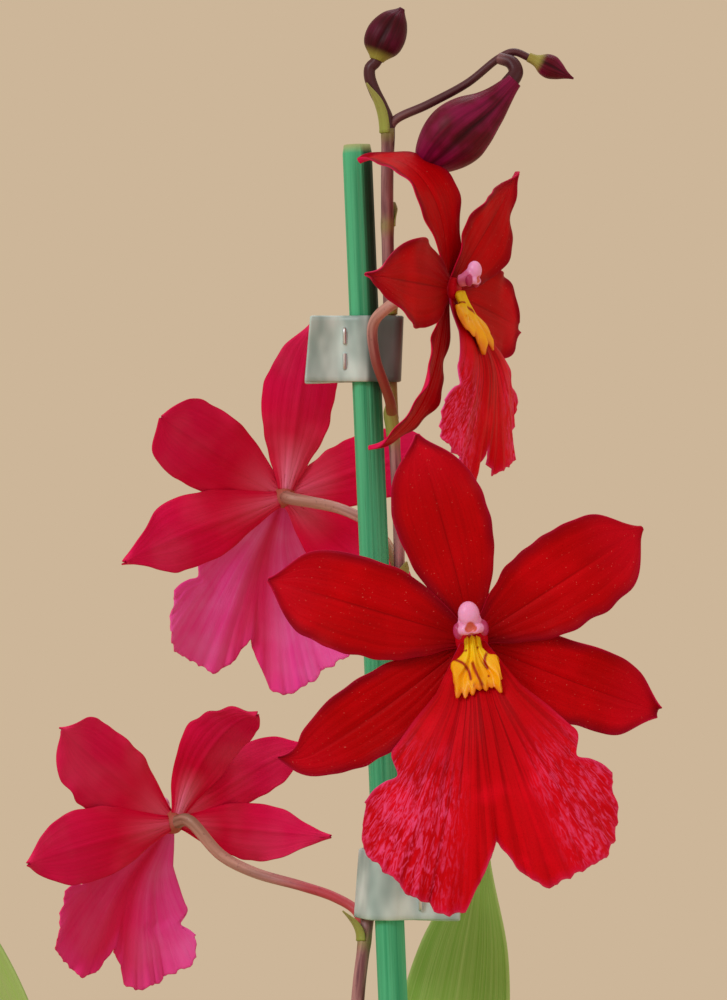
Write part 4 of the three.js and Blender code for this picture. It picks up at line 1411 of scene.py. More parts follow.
@dataclass(frozen=True)
class Crest:
    """The raised yellow callus on the root of the lip, with ragged fingers.

    aside moves it across the lip. A streak is its two ends and how far it bows.
    """

    aside: float = 0.0
    length: float = 0.185
    finger: float = 0.02
    clear: float = 0.35
    seat: float = 0.7
    cells: tuple[int, int] = (56, 44)
    spread: tuple[float, ...] = (0.5, 0.42, 0.62, 0.86, 0.76)
    rise: tuple[float, ...] = (1.4, 1.2, 1, 1, 0.9)
    streaks: tuple[tuple[float, float, float, float, float], ...] = (
        (-3.3, -2.6, -1.1, -6.0, 0.7),
        (-0.5, -3.7, 0.45, -7.0, -0.15),
        (1.9, -2.5, 1.7, -4.6, -0.35),
    )
    dots: tuple[tuple[float, float], ...] = ((-1.2, -1.6), (0.7, -1.4), (1.7, -5.9), (-0.8, -6.9))

    def _ends(self, s: Array) -> Array:
        """How far the fingers reach along the lip."""
        ragged = 0.009 * ripple(s, 21, 1.5, 4) + 0.008 * ripple(s, 23, 3, 5)
        return self.length + 0.014 - 0.03 * s * s + self.finger * np.cos(3 * math.pi * s) + ragged

    def _height(self, s: Array, t: Array) -> Array:
        """The crest's own height: three ridges, lumpy towards the fingers."""
        ridges = 0.42 * np.cos(2 * math.pi * s) + 0.12 * np.cos(6 * math.pi * s)
        lumps = 0.14 * ripple(s + 0.3 * t, 22, 1, 4) * ramp(t, 0.2, 0.8)
        shoulder = 1 - 0.55 * ramp(np.abs(s), 0.72, 1) - 0.5 * ramp(t, 0.88, 1)
        return (profile(self.rise, t) + ridges + lumps) * shoulder

    def add_to(self, skin: Skin, lip: Lip, place: Placing) -> None:
        """Adds the crest.

        Args:
            skin: Takes it.
            lip: The lip that it lies on.
            place: Takes points of the bloom's own frame into the plant's.
        """
        under_lip = lip.surface(fine=False)

        def square(s: Array, t: Array) -> Array:
            """The way in which the crest is thick, the same over a row."""
            return normals_of(under_lip, s * 0, self.length * t)

        def own(s: Array, t: Array) -> Array:
            """The crest's middle surface in the bloom's frame."""
            under = lip.cell / 2 + lip.gap * self.seat + self.clear * np.abs(s)
            across = (s + self.aside) * profile(self.spread, t)
            point = under_lip(across, self._ends(s) * t)
            return point + square(s, t) * (under + self._height(s, t) / 2)[..., None]

        def streak(s: Array, t: Array) -> Array:
            """1 on the dark streaks and dots."""
            spot = own(s, t) / lip.size
            x, y = spot[..., 0], spot[..., 1]
            shown = np.zeros(s.shape)
            for x0, y0, x1, y1, bow in self.streaks:
                run, rise = x1 - x0, y1 - y0
                share = np.clip(((x - x0) * run + (y - y0) * rise) / (run**2 + rise**2), 0, 1)
                sag = bow * np.sin(math.pi * share) / math.hypot(run, rise)
                away_x = x - x0 - share * run + sag * rise
                away = np.hypot(away_x, y - y0 - share * rise - sag * run)
                shown = np.maximum(shown, 1 - ramp(away, 0.1, 0.36))
            for x0, y0 in self.dots:
                shown = np.maximum(shown, 1 - ramp(np.hypot(x - x0, y - y0), 0.08, 0.28))
            return shown

        add_blade(
            skin,
            lambda s, t: place(own(s, t)),
            *self.cells,
            self._height,
            lambda s, t: place(square(s, t)) - place(np.zeros(3)),
            {"streak": streak, "foot": lambda s, t: 0.5 * ramp(t, 0.9, 1)},
        )


@dataclass(frozen=True)
class Column:
    """The column over the lip: a club with a cap, two wings, two soft lobes and a hollow."""

    size: float = 1
    heart_top: float = 1.6
    voxel: float = 0.16
    cap_at: Point = (0, 4.2, 5.8)
    cap: Point = (1.7, 2.1, 1.6)
    wing_at: Point = (2.05, 1.8, 5.3)
    wing: Point = (0.75, 1.35, 0.85)
    lobe_at: Point = (0.85, 1.9, 6.0)
    lobe: Point = (1.05, 0.85, 0.9)
    hollow_at: Point = (0, 2.0, 7.2)
    hollow: float = 1.05

    def _ball(self, skin: Skin, middle: Array, sizes: Sequence[float]) -> None:
        """Adds one ball with its own three radii."""
        low, high = middle - FRONT * sizes[2], middle + FRONT * sizes[2]

        def radius(t: Array, turn: Array) -> Array:
            """The ball's radius at a height and a turn."""
            round_off = np.sqrt(np.maximum(1 - (2 * t - 1) ** 2, 0.0004))
            return round_off / np.hypot(np.cos(turn) / sizes[0], np.sin(turn) / sizes[1])

        add_tube(skin, Line([low, high]), radius, 24, 24, (1, 0, 0))

    def _parts(self) -> list[tuple[Array, Sequence[float], str]]:
        """Each ball's middle, its radii and the name of its colour."""
        parts = [(np.array(self.cap_at), self.cap, "cap")]
        for side in (-1, 1):
            across = np.array([side, 1, 1])
            parts.append((np.array(self.wing_at) * across, self.wing, "wing"))
            parts.append((np.array(self.lobe_at) * across, self.lobe, "cap"))
        return parts

    def built(self, name: str, place: Placing) -> bpy.types.Object:
        """The column as one smooth body in its place on the plant."""
        raw = Skin(name)
        foot = self.heart_top / self.size
        spine = Line([[0, 2, foot], [0, 2.1, foot + 1], [0, 2.8, 4.6], [0, 3.4, 5.6]])
        add_tube(raw, spine, lambda t, turn: 1.3 + 0.55 * t, 24, 20)
        for middle, sizes, _ in self._parts():
            self._ball(raw, middle, sizes)
        lump = raw.built(ColumnFinish())
        fuse = lump.modifiers.new("Fuse", "REMESH")
        fuse.mode = "VOXEL"
        fuse.voxel_size = self.voxel * MM
        fuse.use_smooth_shade = True
        soften = lump.modifiers.new("Soften", "SMOOTH")
        soften.factor = 0.5
        soften.iterations = 5
        made = plain_copy(lump)

        mesh = made.data
        own = np.empty(len(mesh.vertices) * 3)
        mesh.vertices.foreach_get("co", own)
        own = own.reshape(-1, 3) / MM
        masks = {"cap": np.zeros(len(own)), "wing": np.zeros(len(own))}
        for middle, sizes, colour in self._parts():
            inside = np.linalg.norm((own - middle) / np.asarray(sizes), axis=1)
            masks[colour] = np.maximum(masks[colour], 1 - ramp(inside, 0.95, 1.25))
        aside = own - np.array(self.hollow_at)
        depth = np.sqrt(np.maximum(self.hollow**2 - aside[:, 0] ** 2 - aside[:, 1] ** 2, 0))
        floor = self.hollow_at[2] - depth
        sunk = (depth > 0) & (own[:, 2] > floor) & (own[:, 2] > 4.5)
        masks["hollow"] = np.where(sunk, ramp(own[:, 2] - floor, 0.02, 0.25), 0)
        own[sunk, 2] = floor[sunk]
        masks["wing"] = masks["wing"] * (1 - masks["cap"])
        for key, values in masks.items():
            mark = mesh.attributes.new(key, "FLOAT", "POINT")
            mark.data.foreach_set("value", values.astype(np.float32))
        mesh.vertices.foreach_set("co", (place(own * self.size) * MM).ravel())
        mesh.update()
        return made


@dataclass(frozen=True)
class Bloom:
    """One flower: where it stands, how it is turned, and its parts.

    turns are its yaw, pitch and roll in degrees. blush is the colour of its stalk's foot, and
    lip_shade darkens the back of its lip.
    """

    name: str
    centre: Point
    turns: Point
    petals: tuple[Petal, ...]
    lip: Lip
    stalk: Path
    heart: float = 2.6
    heart_flat: float = 0.75
    blush: str = "tan"
    fineness: float = 1.0
    crest: Crest = Crest()
    lip_shade: float = 0

    def _axes(self) -> Array:
        """The bloom's right, top and front as rows."""
        yaw, pitch, roll = (math.radians(turn) for turn in self.turns)
        level = math.cos(pitch)
        front = np.array([math.sin(yaw) * level, -math.cos(yaw) * level, math.sin(pitch)])
        right = unit(np.cross([0.0, 0.0, 1.0], front))
        top = np.cross(front, right)
        return np.array([turned(right, front, -roll), turned(top, front, -roll), front])

    def place(self, own: Array) -> Array:
        """Takes points of the bloom's own frame into the plant's."""
        return np.asarray(own) @ self._axes() + np.array(self.centre)

    def stalk_line(self) -> Line:
        """The bloom's own stalk, from the stem to its back."""
        depth = self.heart * self.heart_flat
        return Line([*self.stalk, self.place([0, 0, -5]), self.place([0, 0, 0.3 - depth])])

    def _add_petals(self, skin: Skin) -> None:
        """Adds the five petals and the heart that they meet in."""
        for k, petal in enumerate(self.petals):
            own = petal.surface()
            add_blade(
                skin,
                lambda s, t, own=own: self.place(own(s, t)),
                2 * round(18 * self.fineness),
                round(72 * self.fineness),
                petal.thickness,
                marks={"tone": lambda s, t, tone=PETAL_TONES[k]: tone},
            )
        low = self.place([0, 0, -self.heart * self.heart_flat])
        high = self.place([0, 0, 1.3])

        def radius(t: Array, turn: Array) -> Array:
            """A funnel from the stalk to the petals, cut flat at the front."""
            return 1.1 + (self.heart - 1.1) * ramp(t, 0, 0.55) - 0.3 * ramp(t, 0.8, 1)

        heart = {
            "back": lambda t, turn: 1 - ramp(t, 0.5, 0.8),
            "rim": lambda t, turn: 9.0,
            "heart": lambda t, turn: 1 - ramp(t, 0.4, 0.8),
        }
        add_tube(skin, Line([low, high]), radius, 28, 14, marks=heart)

    def _add_lip(self, skin: Skin) -> None:
        """Adds the lip."""
        own = self.lip.surface()
        add_blade(
            skin,
            lambda s, t: self.place(own(s, t)),
            2 * round(64 * self.fineness),
            round(76 * self.fineness),
            self.lip.thickness,
            marks={
                "reach": self.lip.radius_at,
                "fan": self.lip.fan_at,
                "parted": lambda s, t: ramp(np.abs(s), 0.16, 0.5),
                "shade": lambda s, t: self.lip_shade * ramp(-s, -1.4, 0.2),
            },
        )

    def build(self) -> None:
        """Makes the bloom's four pieces."""
        names = (f"{self.name}_{part}_skin" for part in ("petals", "lip", "crest"))
        petals, lip, crest = map(Skin, names)
        self._add_petals(petals)
        self._add_lip(lip)
        self.crest.add_to(crest, self.lip, self.place)
        petals.show(PetalFinish(), f"{self.name}_petals")
        lip.show(LipFinish(), f"{self.name}_lip")
        crest.show(CrestFinish(), f"{self.name}_crest")
        column = Column(size=self.lip.size).built(f"{self.name}_column_skin", self.place)
        show(column, ColumnFinish(), f"{self.name}_column")


BLOOMS = (
    Bloom(
        name="bloom_front",
        centre=(11, -32, 367),
        turns=(0, 0, -8),
        petals=(
            Petal(Outline.LEANING, -5, 32.4, 15, 8, -22, foot=-0.6, sweep=-4),
            Petal(Outline.PETAL, -64.5, 32.5, 15, 8, -28, sweep=-2.5, phase=1),
            Petal(Outline.PETAL, 64.8, 31.2, 15, 8, -24, phase=2),
            Petal(Outline.NARROW, -122, 35.5, 12.2, 4, -18, foot=-0.6, sweep=10, hook=42),
            Petal(Outline.BLUNT, 121.5, 30.6, 12.8, 4, -22, foot=-0.6, sweep=-5, wave=0.9),
        ),
        lip=Lip(size=1, angle=181.5),
        stalk=((-1.1, 5, 350), (3.5, 1, 351.5), (7.6, -8, 356), (10.4, -18, 362)),
        blush="rust",
    ),
    Bloom(
        name="bloom_upper",
        centre=(8, -14, 422.9),
        turns=(66, 0, 0),
        petals=(
            Petal(Outline.SEPAL, 1, 30, 13.4, -2, -112, bend=2, foot=-0.6, twist=-18),
            Petal(Outline.TAPERED, -88, 30, 14.2, 1, -8, wave=0.8, phase=1),
            Petal(Outline.ONE_SIDED, 45, 27.5, 15, 10, -8, wave=0.6),
            Petal(Outline.NARROW, -156, 30.5, 10.5, 2, -84, bend=3, foot=-0.6, twist=-25),
            Petal(Outline.BLUNT, 101, 25.5, 14, 7, -8, foot=-0.6),
        ),
        lip=Lip(size=0.73, angle=180, reflex=0.06, place=(0, -2.3, 0.5)),
        crest=Crest(length=0.26, aside=0.4, spread=(0.66, 0.54, 0.72, 0.95, 0.9)),
        stalk=(
            (-1.3, -1, 402.5), (-1.6, -3.6, 405), (-2.6, -5.5, 408), (-4, -7, 412),
            (-4.4, -9, 417.5), (-2, -11, 420.2),
        ),
        heart=2,
        blush="rust",
        fineness=0.8,
    ),
    Bloom(
        name="bloom_back",
        centre=(-19.4, 21, 389.6),
        turns=(195, 4, -3),
        petals=(
            Petal(Outline.SEPAL, -4, 29, 12.3, 0, -20, foot=-0.6),
            Petal(Outline.PETAL, 63, 30, 13.5, 0, -58, phase=1),
            Petal(Outline.PETAL, -68, 27, 11.5, 0, -50),
            Petal(Outline.POINTED, 112, 32.5, 12, 0, -46, foot=-0.6),
            Petal(Outline.NARROW, -128, 29, 12, 0, -46, foot=-0.6),
        ),
        lip=Lip(size=0.8, angle=175),
        heart=2,
        stalk=((-0.2, 1, 377), (-1.6, 6, 381), (-5, 10.5, 385), (-10, 14.5, 387.6)),
        fineness=0.8,
    ),
    Bloom(
        name="bloom_lower",
        centre=(-38.1, 20, 334.6),
        turns=(215, -6, -14),
        petals=(
            Petal(Outline.SEPAL, -12, 26, 10.6, 0, -100, foot=-0.6),
            Petal(Outline.PETAL, 70, 28, 14, 0, -24, phase=1),
            Petal(Outline.PETAL, -48, 26, 9.4, 0, -46),
            Petal(Outline.NARROW, 114, 33, 12, 0, -28, foot=-0.6),
            Petal(Outline.POINTED, -85, 27, 9.6, 0, -56, foot=-0.6),
        ),
        lip=Lip(size=0.72, angle=171.5, lobes=(0.9, 1.02)),
        lip_shade=0.7,
        stalk=(
            (-5.7, 2.7, 317.4), (-6.2, 5.4, 318.6), (-7.4, 8, 320.9), (-11, 9.4, 322.9),
            (-16.2, 11, 324.5), (-24.4, 14, 326.6), (-29.9, 15.4, 329.4),
        ),
        heart=2,
        blush="rose",
        fineness=0.8,
    ),
)


# Stem, buds, stake and ties


@dataclass(frozen=True)
class Stake:
    """The green stake: a straight split cane."""

    foot: Point = (11.1, 0, 14)
    head: Point = (-7.2, 0, 447.4)
    radius: float = 2.4
    flute: float = 0.05

    def at(self, z: float) -> Array:
        """The middle of the stake at a height."""
        foot, head = np.array(self.foot), np.array(self.head)
        return foot + (head - foot) * (z - foot[2]) / (head[2] - foot[2])

    def build(self) -> None:
        """Makes the stake with its fibres and its cut end."""
        skin = Skin("stake_cane")

        def radius(t: Array, turn: Array) -> Array:
            """Three flat sides, fine grooves and a slightly rounded head."""
            flat = self.radius * (1 + self.flute * np.cos(3 * turn))
            fibres = sum(
                0.018 * np.sin(k * turn + k * k + 1.5 * np.sin(t * (3 + k % 5)))
                for k in (9, 13, 17, 22)
            )
            return flat + fibres - 0.25 * ramp(t, 0.9985, 1)

        marks = {
            "cut": lambda t, turn: ramp(t, 0.9992, 1),
            # left marks a painted highlight down the stake's left side; right marks painted shade
            # on the right side of its upper part.
            "left": lambda t, turn: ramp(-np.cos(turn), 0.3, 0.75),
            "right": lambda t, turn: ramp(np.cos(turn), 0.25, 0.6) * ramp(t, 0.87, 0.93),
        }
        add_tube(skin, Line([self.foot, self.head]), radius, 64, 300, (1, 0, 0), marks)
        skin.show(StakeFinish(), "stake")


STEM_PATH = (
    (-5, -19.5, 93.2), (-4.6, -18.6, 104), (-5, -15, 140), (-7, -7, 190), (-8.6, 0, 250),
    (-7, 1, 306), (-6, 2, 315), (-5, 3.7, 322), (-3.5, 5.9, 335), (-1.1, 5, 350),
    (-0.2, 2.5, 363), (-0.1, 1, 378), (-0.4, 0, 389), (-1.3, -1, 405), (-1.8, -1, 422),
    (-2.1, -1, 438), (-2, -1, 450),
)


@dataclass(frozen=True)
class Branch:
    """A stalk at the stem's tip, with its radius at each end and how dark its end is."""

    line: Path
    start: float
    end: float
    dark: float


@dataclass(frozen=True)
class Bract:
    """A small pointed scale that clasps the stem. turn is its side, in degrees."""

    level: float
    turn: float
    length: float
    out: float = 1.15


@dataclass(frozen=True)
class FlowerStem:
    """The flower stem with its stalks, nodes and bracts."""

    path: Path = STEM_PATH
    radii: tuple[float, ...] = (2.6, 2.1, 1.5, 1.1, 0.92, 1.05)
    branches: tuple[Branch, ...] = (
        Branch(
            (
                (-2, -1, 444), (-1.9, -1, 451), (-2.9, -1, 453.6), (-4.2, -1, 456.2),
                (-5, -1, 458.6), (-4.9, -1, 460), (-4.1, -1, 460.8), (-3.2, -1, 462.4),
            ), 0.95, 0.95, 0.95,
        ),
        Branch(
            (
                (-2, -1, 449), (-1, -1, 451.2), (4.6, -1.6, 453.9), (11.1, -2, 457.4),
                (16.2, -2.4, 461.4), (18.6, -2.6, 462.4), (21.4, -2.8, 461.3),
            ), 0.75, 0.6, 0.9,
        ),
        Branch(
            ((16.2, -2.4, 461.4), (18.2, -3.4, 460.6), (18.9, -4.2, 458.9), (17.6, -4.8, 456.8)),
            0.95, 1.4, 1.0,
        ),
    )
    bracts: tuple[Bract, ...] = (
        Bract(449.3, 200, 8, 2.6),
        Bract(434, 60, 4),
        Bract(419.5, 330, 4),
        Bract(399.5, 250, 5.5),
        Bract(374, 300, 5),
        Bract(346.5, 330, 5),
        Bract(316.2, 190, 4.4, 3),
        Bract(240, 60, 10),
        Bract(160, 240, 14),
    )

    def line(self) -> Line:
        """The stem's middle."""
        return Line(self.path)

    def at(self, z: float) -> tuple[Array, float]:
        """The stem's middle and its radius at a height."""
        line = self.line()
        share = line.share_at_height(z)
        return line.at(share), float(profile(self.radii, share))

    def _add_stem(self, skin: Skin) -> None:
        """Adds the stem, a little swollen at its nodes."""
        line = self.line()
        levels = [line.share_at_height(row.level) for row in self.bracts]

        def node(t: Array) -> Array:
            """1 at the nodes."""
            near = [np.exp(-(((t - level) * line.length / 1.3) ** 2)) for level in levels]
            return np.clip(sum(near), 0, 1)

        def radius(t: Array, turn: Array) -> Array:
            """The stem's radius with nodes and faint ribs."""
            ribs = 1 + 0.018 * np.cos(5 * turn + 4 * t) + 0.012 * np.cos(9 * turn)
            return profile(self.radii, t) * ribs * (1 + 0.1 * node(t))

        def green(t: Array, turn: Array) -> Array:
            """1 where the stem is green: low down, and in patches by its nodes."""
            z = np.interp(t * line.length, line.run, line.samples[:, 2])
            low = 1 - ramp(z, 150, 275)
            by_tie = ramp(z, 396, 404) * (1 - ramp(z, 406, 412)) * 0.8
            return np.clip(low + by_tie + 0.5 * node(t), 0, 1)

        marks = {
            "green": green,
            "dark": lambda t, turn: 0.35 * (0.5 + 0.5 * np.cos(turn + 9 * t)) * ramp(t, 0.6, 1),
        }
        add_tube(skin, line, radius, 22, 420, marks=marks)

    def _add_bract(self, skin: Skin, row: Bract) -> None:
        """Adds one bract, wrapped round the stem and free at its point."""
        line = self.line()
        share = line.share_at_height(row.level)
        foot, ahead = line.at(share), line.ahead(share)
        turn = math.radians(row.turn)
        across = unit(np.cross(ahead, [math.cos(turn), math.sin(turn), 0.0]))
        side = np.cross(across, ahead)
        lean = float(profile(self.radii, share))

        def at(s: Array, t: Array) -> Array:
            """The bract's middle surface."""
            wrap = s * math.radians(84) * profile((1, 0.82, 0.5, 0.06), t)
            away = lean + 0.18 + row.out * t * t
            out = side * np.cos(wrap)[..., None] - across * np.sin(wrap)[..., None]
            return foot + ahead * (row.length * t)[..., None] + out * away[..., None]

        marks = {"green": lambda s, t: 1 - 0.25 * t}
        add_blade(skin, at, 16, 16, lambda s, t: 0.42 - 0.2 * np.abs(s) - 0.1 * t, marks=marks)

    def build(self, blooms: Sequence[Bloom]) -> None:
        """Makes the stem with the stalks of its blooms."""
        skin = Skin("flower_stem_skin")
        self._add_stem(skin)
        for row in self.branches:

            def thin(t: Array, turn: Array, row: Branch = row) -> Array:
                """The stalk's radius."""
                return row.start + (row.end - row.start) * t + 0.02 * np.cos(4 * turn)

            def dark(t: Array, turn: Array, row: Branch = row) -> Array:
                """Darker towards the bud."""
                return row.dark * ramp(t, -0.3, 0.4)

            add_tube(skin, Line(row.line), thin, 18, 60, marks={"dark": dark})
        for bloom in blooms:

            def stalk(t: Array, turn: Array) -> Array:
                """Flared at the stem, ribbed, and thicker behind the bloom."""
                flare = 0.3 * np.exp(-t * 14)
                return (0.8 + 0.3 * t * t + flare) * (1 + 0.045 * np.cos(3 * turn + 5 * t))

            marks = {
                bloom.blush: lambda t, turn: 0.9 * (1 - ramp(t, 0.25, 0.6)),
                "light": lambda t, turn: 0.5 * ramp(t, 0.35, 0.7) * (1 - ramp(t, 0.8, 1)),
                "green": lambda t, turn: 0.45 * np.exp(-t * 16) + 0.25 * ramp(t, 0.8, 1),
            }
            add_tube(skin, bloom.stalk_line(), stalk, 20, 90, marks=marks)
        for row in self.bracts:
            self._add_bract(skin, row)
        skin.show(StemFinish(), "flower_stem")


@dataclass(frozen=True)
class Bud:
    """A closed bud: a bent spindle of three sepals that meet in grooves.

    green is where along it the green starts and is full, and shade darkens it all.
    """

    name: str
    line: Path
    shape: tuple[float, ...]
    radius: float
    first_seam: float = 0.6
    green: tuple[float, float] = (2.0, 2.1)
    shade: float = 0

    def build(self) -> None:
        """Makes the bud."""
        skin = Skin(f"{self.name}_skin")

        def seam(t: Array, turn: Array) -> Array:
            """1 in the three grooves."""
            nearest = np.full(turn.shape, 9.0)
            for k in range(3):
                gap = turn - self.first_seam - 2 * math.pi * k / 3 - 0.25 * np.sin(3 * t)
                nearest = np.minimum(nearest, np.abs((gap + math.pi) % (2 * math.pi) - math.pi))
            return np.exp(-((nearest / 0.13) ** 2)) * np.sin(math.pi * np.clip(t, 0, 1) ** 0.8)

        def radius(t: Array, turn: Array) -> Array:
            """The bud's radius with its grooves and fine ribs."""
            ribs = 1 + 0.05 * np.cos(3 * (turn - self.first_seam) + math.pi)
            fine = 1 + 0.008 * np.cos(26 * turn + 3 * t)
            return self.radius * profile(self.shape, t) * ribs * fine * (1 - 0.13 * seam(t, turn))

        marks = {
            "seam": lambda t, turn: 0.9 * seam(t, turn),
            "green": lambda t, turn: 0.7 * ramp(t, *self.green),
            "shade": lambda t, turn: self.shade,
        }
        add_tube(skin, Line(self.line), radius, 60, 60, marks=marks)
        skin.show(BudFinish(), self.name)


BUDS = (
    Bud(
        "bud_top",
        ((-3.8, -1, 461.2), (-2.8, -1, 463.8), (-1.2, -1, 467), (0.4, -1, 469.7)),
        (0.36, 0.86, 1, 0.92, 0.64, 0.14),
        3.3,
        green=(0.2, 0.04),
        shade=0.6,
    ),
    Bud(
        "bud_large",
        (
            (18.6, -4.8, 457.6), (14.6, -4.6, 453.4), (9.9, -4.2, 449.7), (5.3, -3.6, 445.3),
            (2.8, -3.2, 442.4),
        ),
        (0.26, 0.4, 0.62, 0.88, 1, 0.9, 0.6, 0.1),
        5.3,
    ),
    Bud(
        "bud_small",
        ((21, -2.8, 461.5), (23.6, -2.9, 460.3), (26.4, -2.9, 458.9), (28.4, -2.9, 458)),
        (0.4, 0.5, 0.9, 1, 0.74, 0.34, 0.08),
        1.95,
        green=(0.36, 0.2),
        shade=0.1,
    ),
)


class TailSide(Enum):
    """The side of the stake on which a tie's two ends meet."""

    LEFT = -1
    RIGHT = 1


@dataclass(frozen=True)
class Tie:
    """A strap round the stake and the stem, with its two ends stapled in a flat tail.

    slant shears the tail and lean the side across from it. shadow darkens the front.
    """

    name: str
    z: float
    side: TailSide
    legs_in_front: bool
    tail: float
    staple_out: float
    slant: float = 0
    shadow: float = 0
    lean: float = 0
    height: float = 11
    ply: float = 0.6
    gap: float = 0.3
    staple_height: float = 6.6
    staple_leg: float = 2.5
    wire: float = 0.35

    def _ring(self, stake: Stake, stem: FlowerStem) -> Array:
        """The strap's middle line round both, anticlockwise from above."""
        points = []
        spare = self.ply / 2
        for level in (self.z - self.height / 2, self.z, self.z + self.height / 2):
            held, thick = stem.at(level)
            reach = stake.radius * 1.06 + self.gap + spare
            for middle, away in ((stake.at(level), reach), (held, thick + self.gap + spare)):
                turn = np.arange(48) * 2 * math.pi / 48
                x, y = middle[0] + away * np.cos(turn), middle[1] + away * np.sin(turn)
                points += list(zip(x, y))
        rows = sorted(points)

        def half(ordered: list[tuple[float, float]]) -> list[tuple[float, float]]:
            """One side of the convex outline."""
            kept: list[tuple[float, float]] = []
            for p in ordered:
                while len(kept) > 1:
                    (ax, ay), (bx, by) = kept[-2:]
                    if (bx - ax) * (p[1] - ay) - (by - ay) * (p[0] - ax) > 1e-9:
                        break
                    kept.pop()
                kept.append(p)
            return kept[:-1]

        return np.array(half(rows) + half(rows[::-1]))

    def _tail_depth(self, stake: Stake) -> float:
        """How far in front of the stake's middle the tail lies."""
        return -stake.radius * 0.62

    def _add_strap(self, skin: Skin, stake: Stake, stem: FlowerStem) -> None:
        """Adds the strap: out of the tail, round both stems and back into the tail."""
        ring = self._ring(stake, stem)
        side = self.side.value
        pole, depth = stake.at(self.z), self._tail_depth(stake)
        root = np.array([pole[0] + side * (stake.radius * 1.06 + self.gap), depth])
        first = int(np.argmin(np.linalg.norm(ring - root, axis=1)))
        ring = np.roll(ring, -first, axis=0)
        if side > 0:
            ring = ring[::-1]
        away = np.linalg.norm(ring - root, axis=1)
        ring = ring[away > 1.5]
        layer = self.ply / 2 + 0.02
        end = root[0] + side * (0.4 + self.tail)
        front, back = depth - layer, depth + layer
        near, far = root[0] + side * 1.6, root[0] + side * 4
        path = [
            [end, front - 0.25, 0], [far, front, 0], [near, front, 0],
            *[[x, y, 0] for x, y in ring[:: max(1, len(ring) // 40)]],
            [near, back, 0], [far, back, 0], [end, back + 0.3, 0],
        ]
        line = Line(path)

        def at(s: Array, t: Array) -> Array:
            """The strap's middle surface."""
            point = line.at(t)
            out_tail = np.abs(point[..., 0] - pole[0]) - 3
            flare = 0.12 * np.maximum(out_tail, 0)
            point[..., 0] += side * self.slant * s * ramp(out_tail, 0, self.tail)
            point[..., 0] += self.lean * s * ramp(side * (pole[0] - point[..., 0]), 0, 3)
            rise = s * (self.height / 2 - 0.25) - 0.3 * ramp(t, 0.75, 1) * (s < 0)
            bow = 0.1 * np.cos(math.pi * s) * ramp(out_tail, 0, 3)
            point[..., 1] += bow + flare * 0.25 * s * s * np.where(t < 0.5, -1, 1)
            point[..., 2] = self.z + rise
            return point

        def shadow(s: Array, t: Array) -> Array:
            """1 on the strap's front, right of the stake's middle."""
            point = at(s, t)
            front = 1 - ramp(point[..., 1], -0.6, 0.2)
            return self.shadow * front * ramp(point[..., 0] - pole[0], 0, 0.9)

        marks = {"shadow": shadow}
        add_blade(skin, at, 14, 260, lambda s, t: self.ply * 0.9, marks=marks)

    def _add_staple(self, skin: Skin, stake: Stake) -> None:
        """Adds the staple: a wire with its back on one side and its bent legs on the other."""
        pole = stake.at(self.z)
        x = pole[0] + self.side.value * (stake.radius + self.staple_out)
        y = self._tail_depth(stake)
        out = (1 if self.legs_in_front else -1) * (self.ply + self.wire + 0.1)
        top = self.staple_height / 2
        wire = [
            (y - out, top - self.staple_leg), (y - out, top - 0.4), (y - out * 0.7, top),
            (y + out * 0.7, top), (y + out, top - 0.4), (y + out, 0.4 - top),
            (y + out * 0.7, -top), (y - out * 0.7, -top), (y - out, 0.4 - top),
            (y - out, self.staple_leg - top),
        ]
        line = Line([[x, depth, self.z + rise] for depth, rise in wire])
        add_tube(skin, line, lambda t, turn: self.wire, 14, 140)

    def build(self, stake: Stake, stem: FlowerStem) -> None:
        """Makes the strap and its staple."""
        strap, wire = Skin(f"{self.name}_tie_strap"), Skin(f"{self.name}_staple_wire")
        self._add_strap(strap, stake, stem)
        self._add_staple(wire, stake)
        strap.show(TapeFinish(), f"{self.name}_tie")
        wire.show(WireFinish(), f"{self.name}_staple")


TIES = (
    Tie("upper", 413.8, TailSide.LEFT, True, 6, 0.9, slant=-0.45, shadow=0.85),
    Tie("lower", 325.8, TailSide.RIGHT, False, 8.5, 3, lean=0.4, height=11.5, staple_height=7.8),
)


# Leaves, bulbs and roots


LEAF_TONE = 0.11
LEAF_SHAPE = (0.22, 0.42, 0.72, 0.92, 1, 0.98, 0.86, 0.62, 0.03)
SHEATH_SHAPE = (0.7, 0.85, 0.95, 1, 0.98, 0.9, 0.75, 0.5, 0.03)


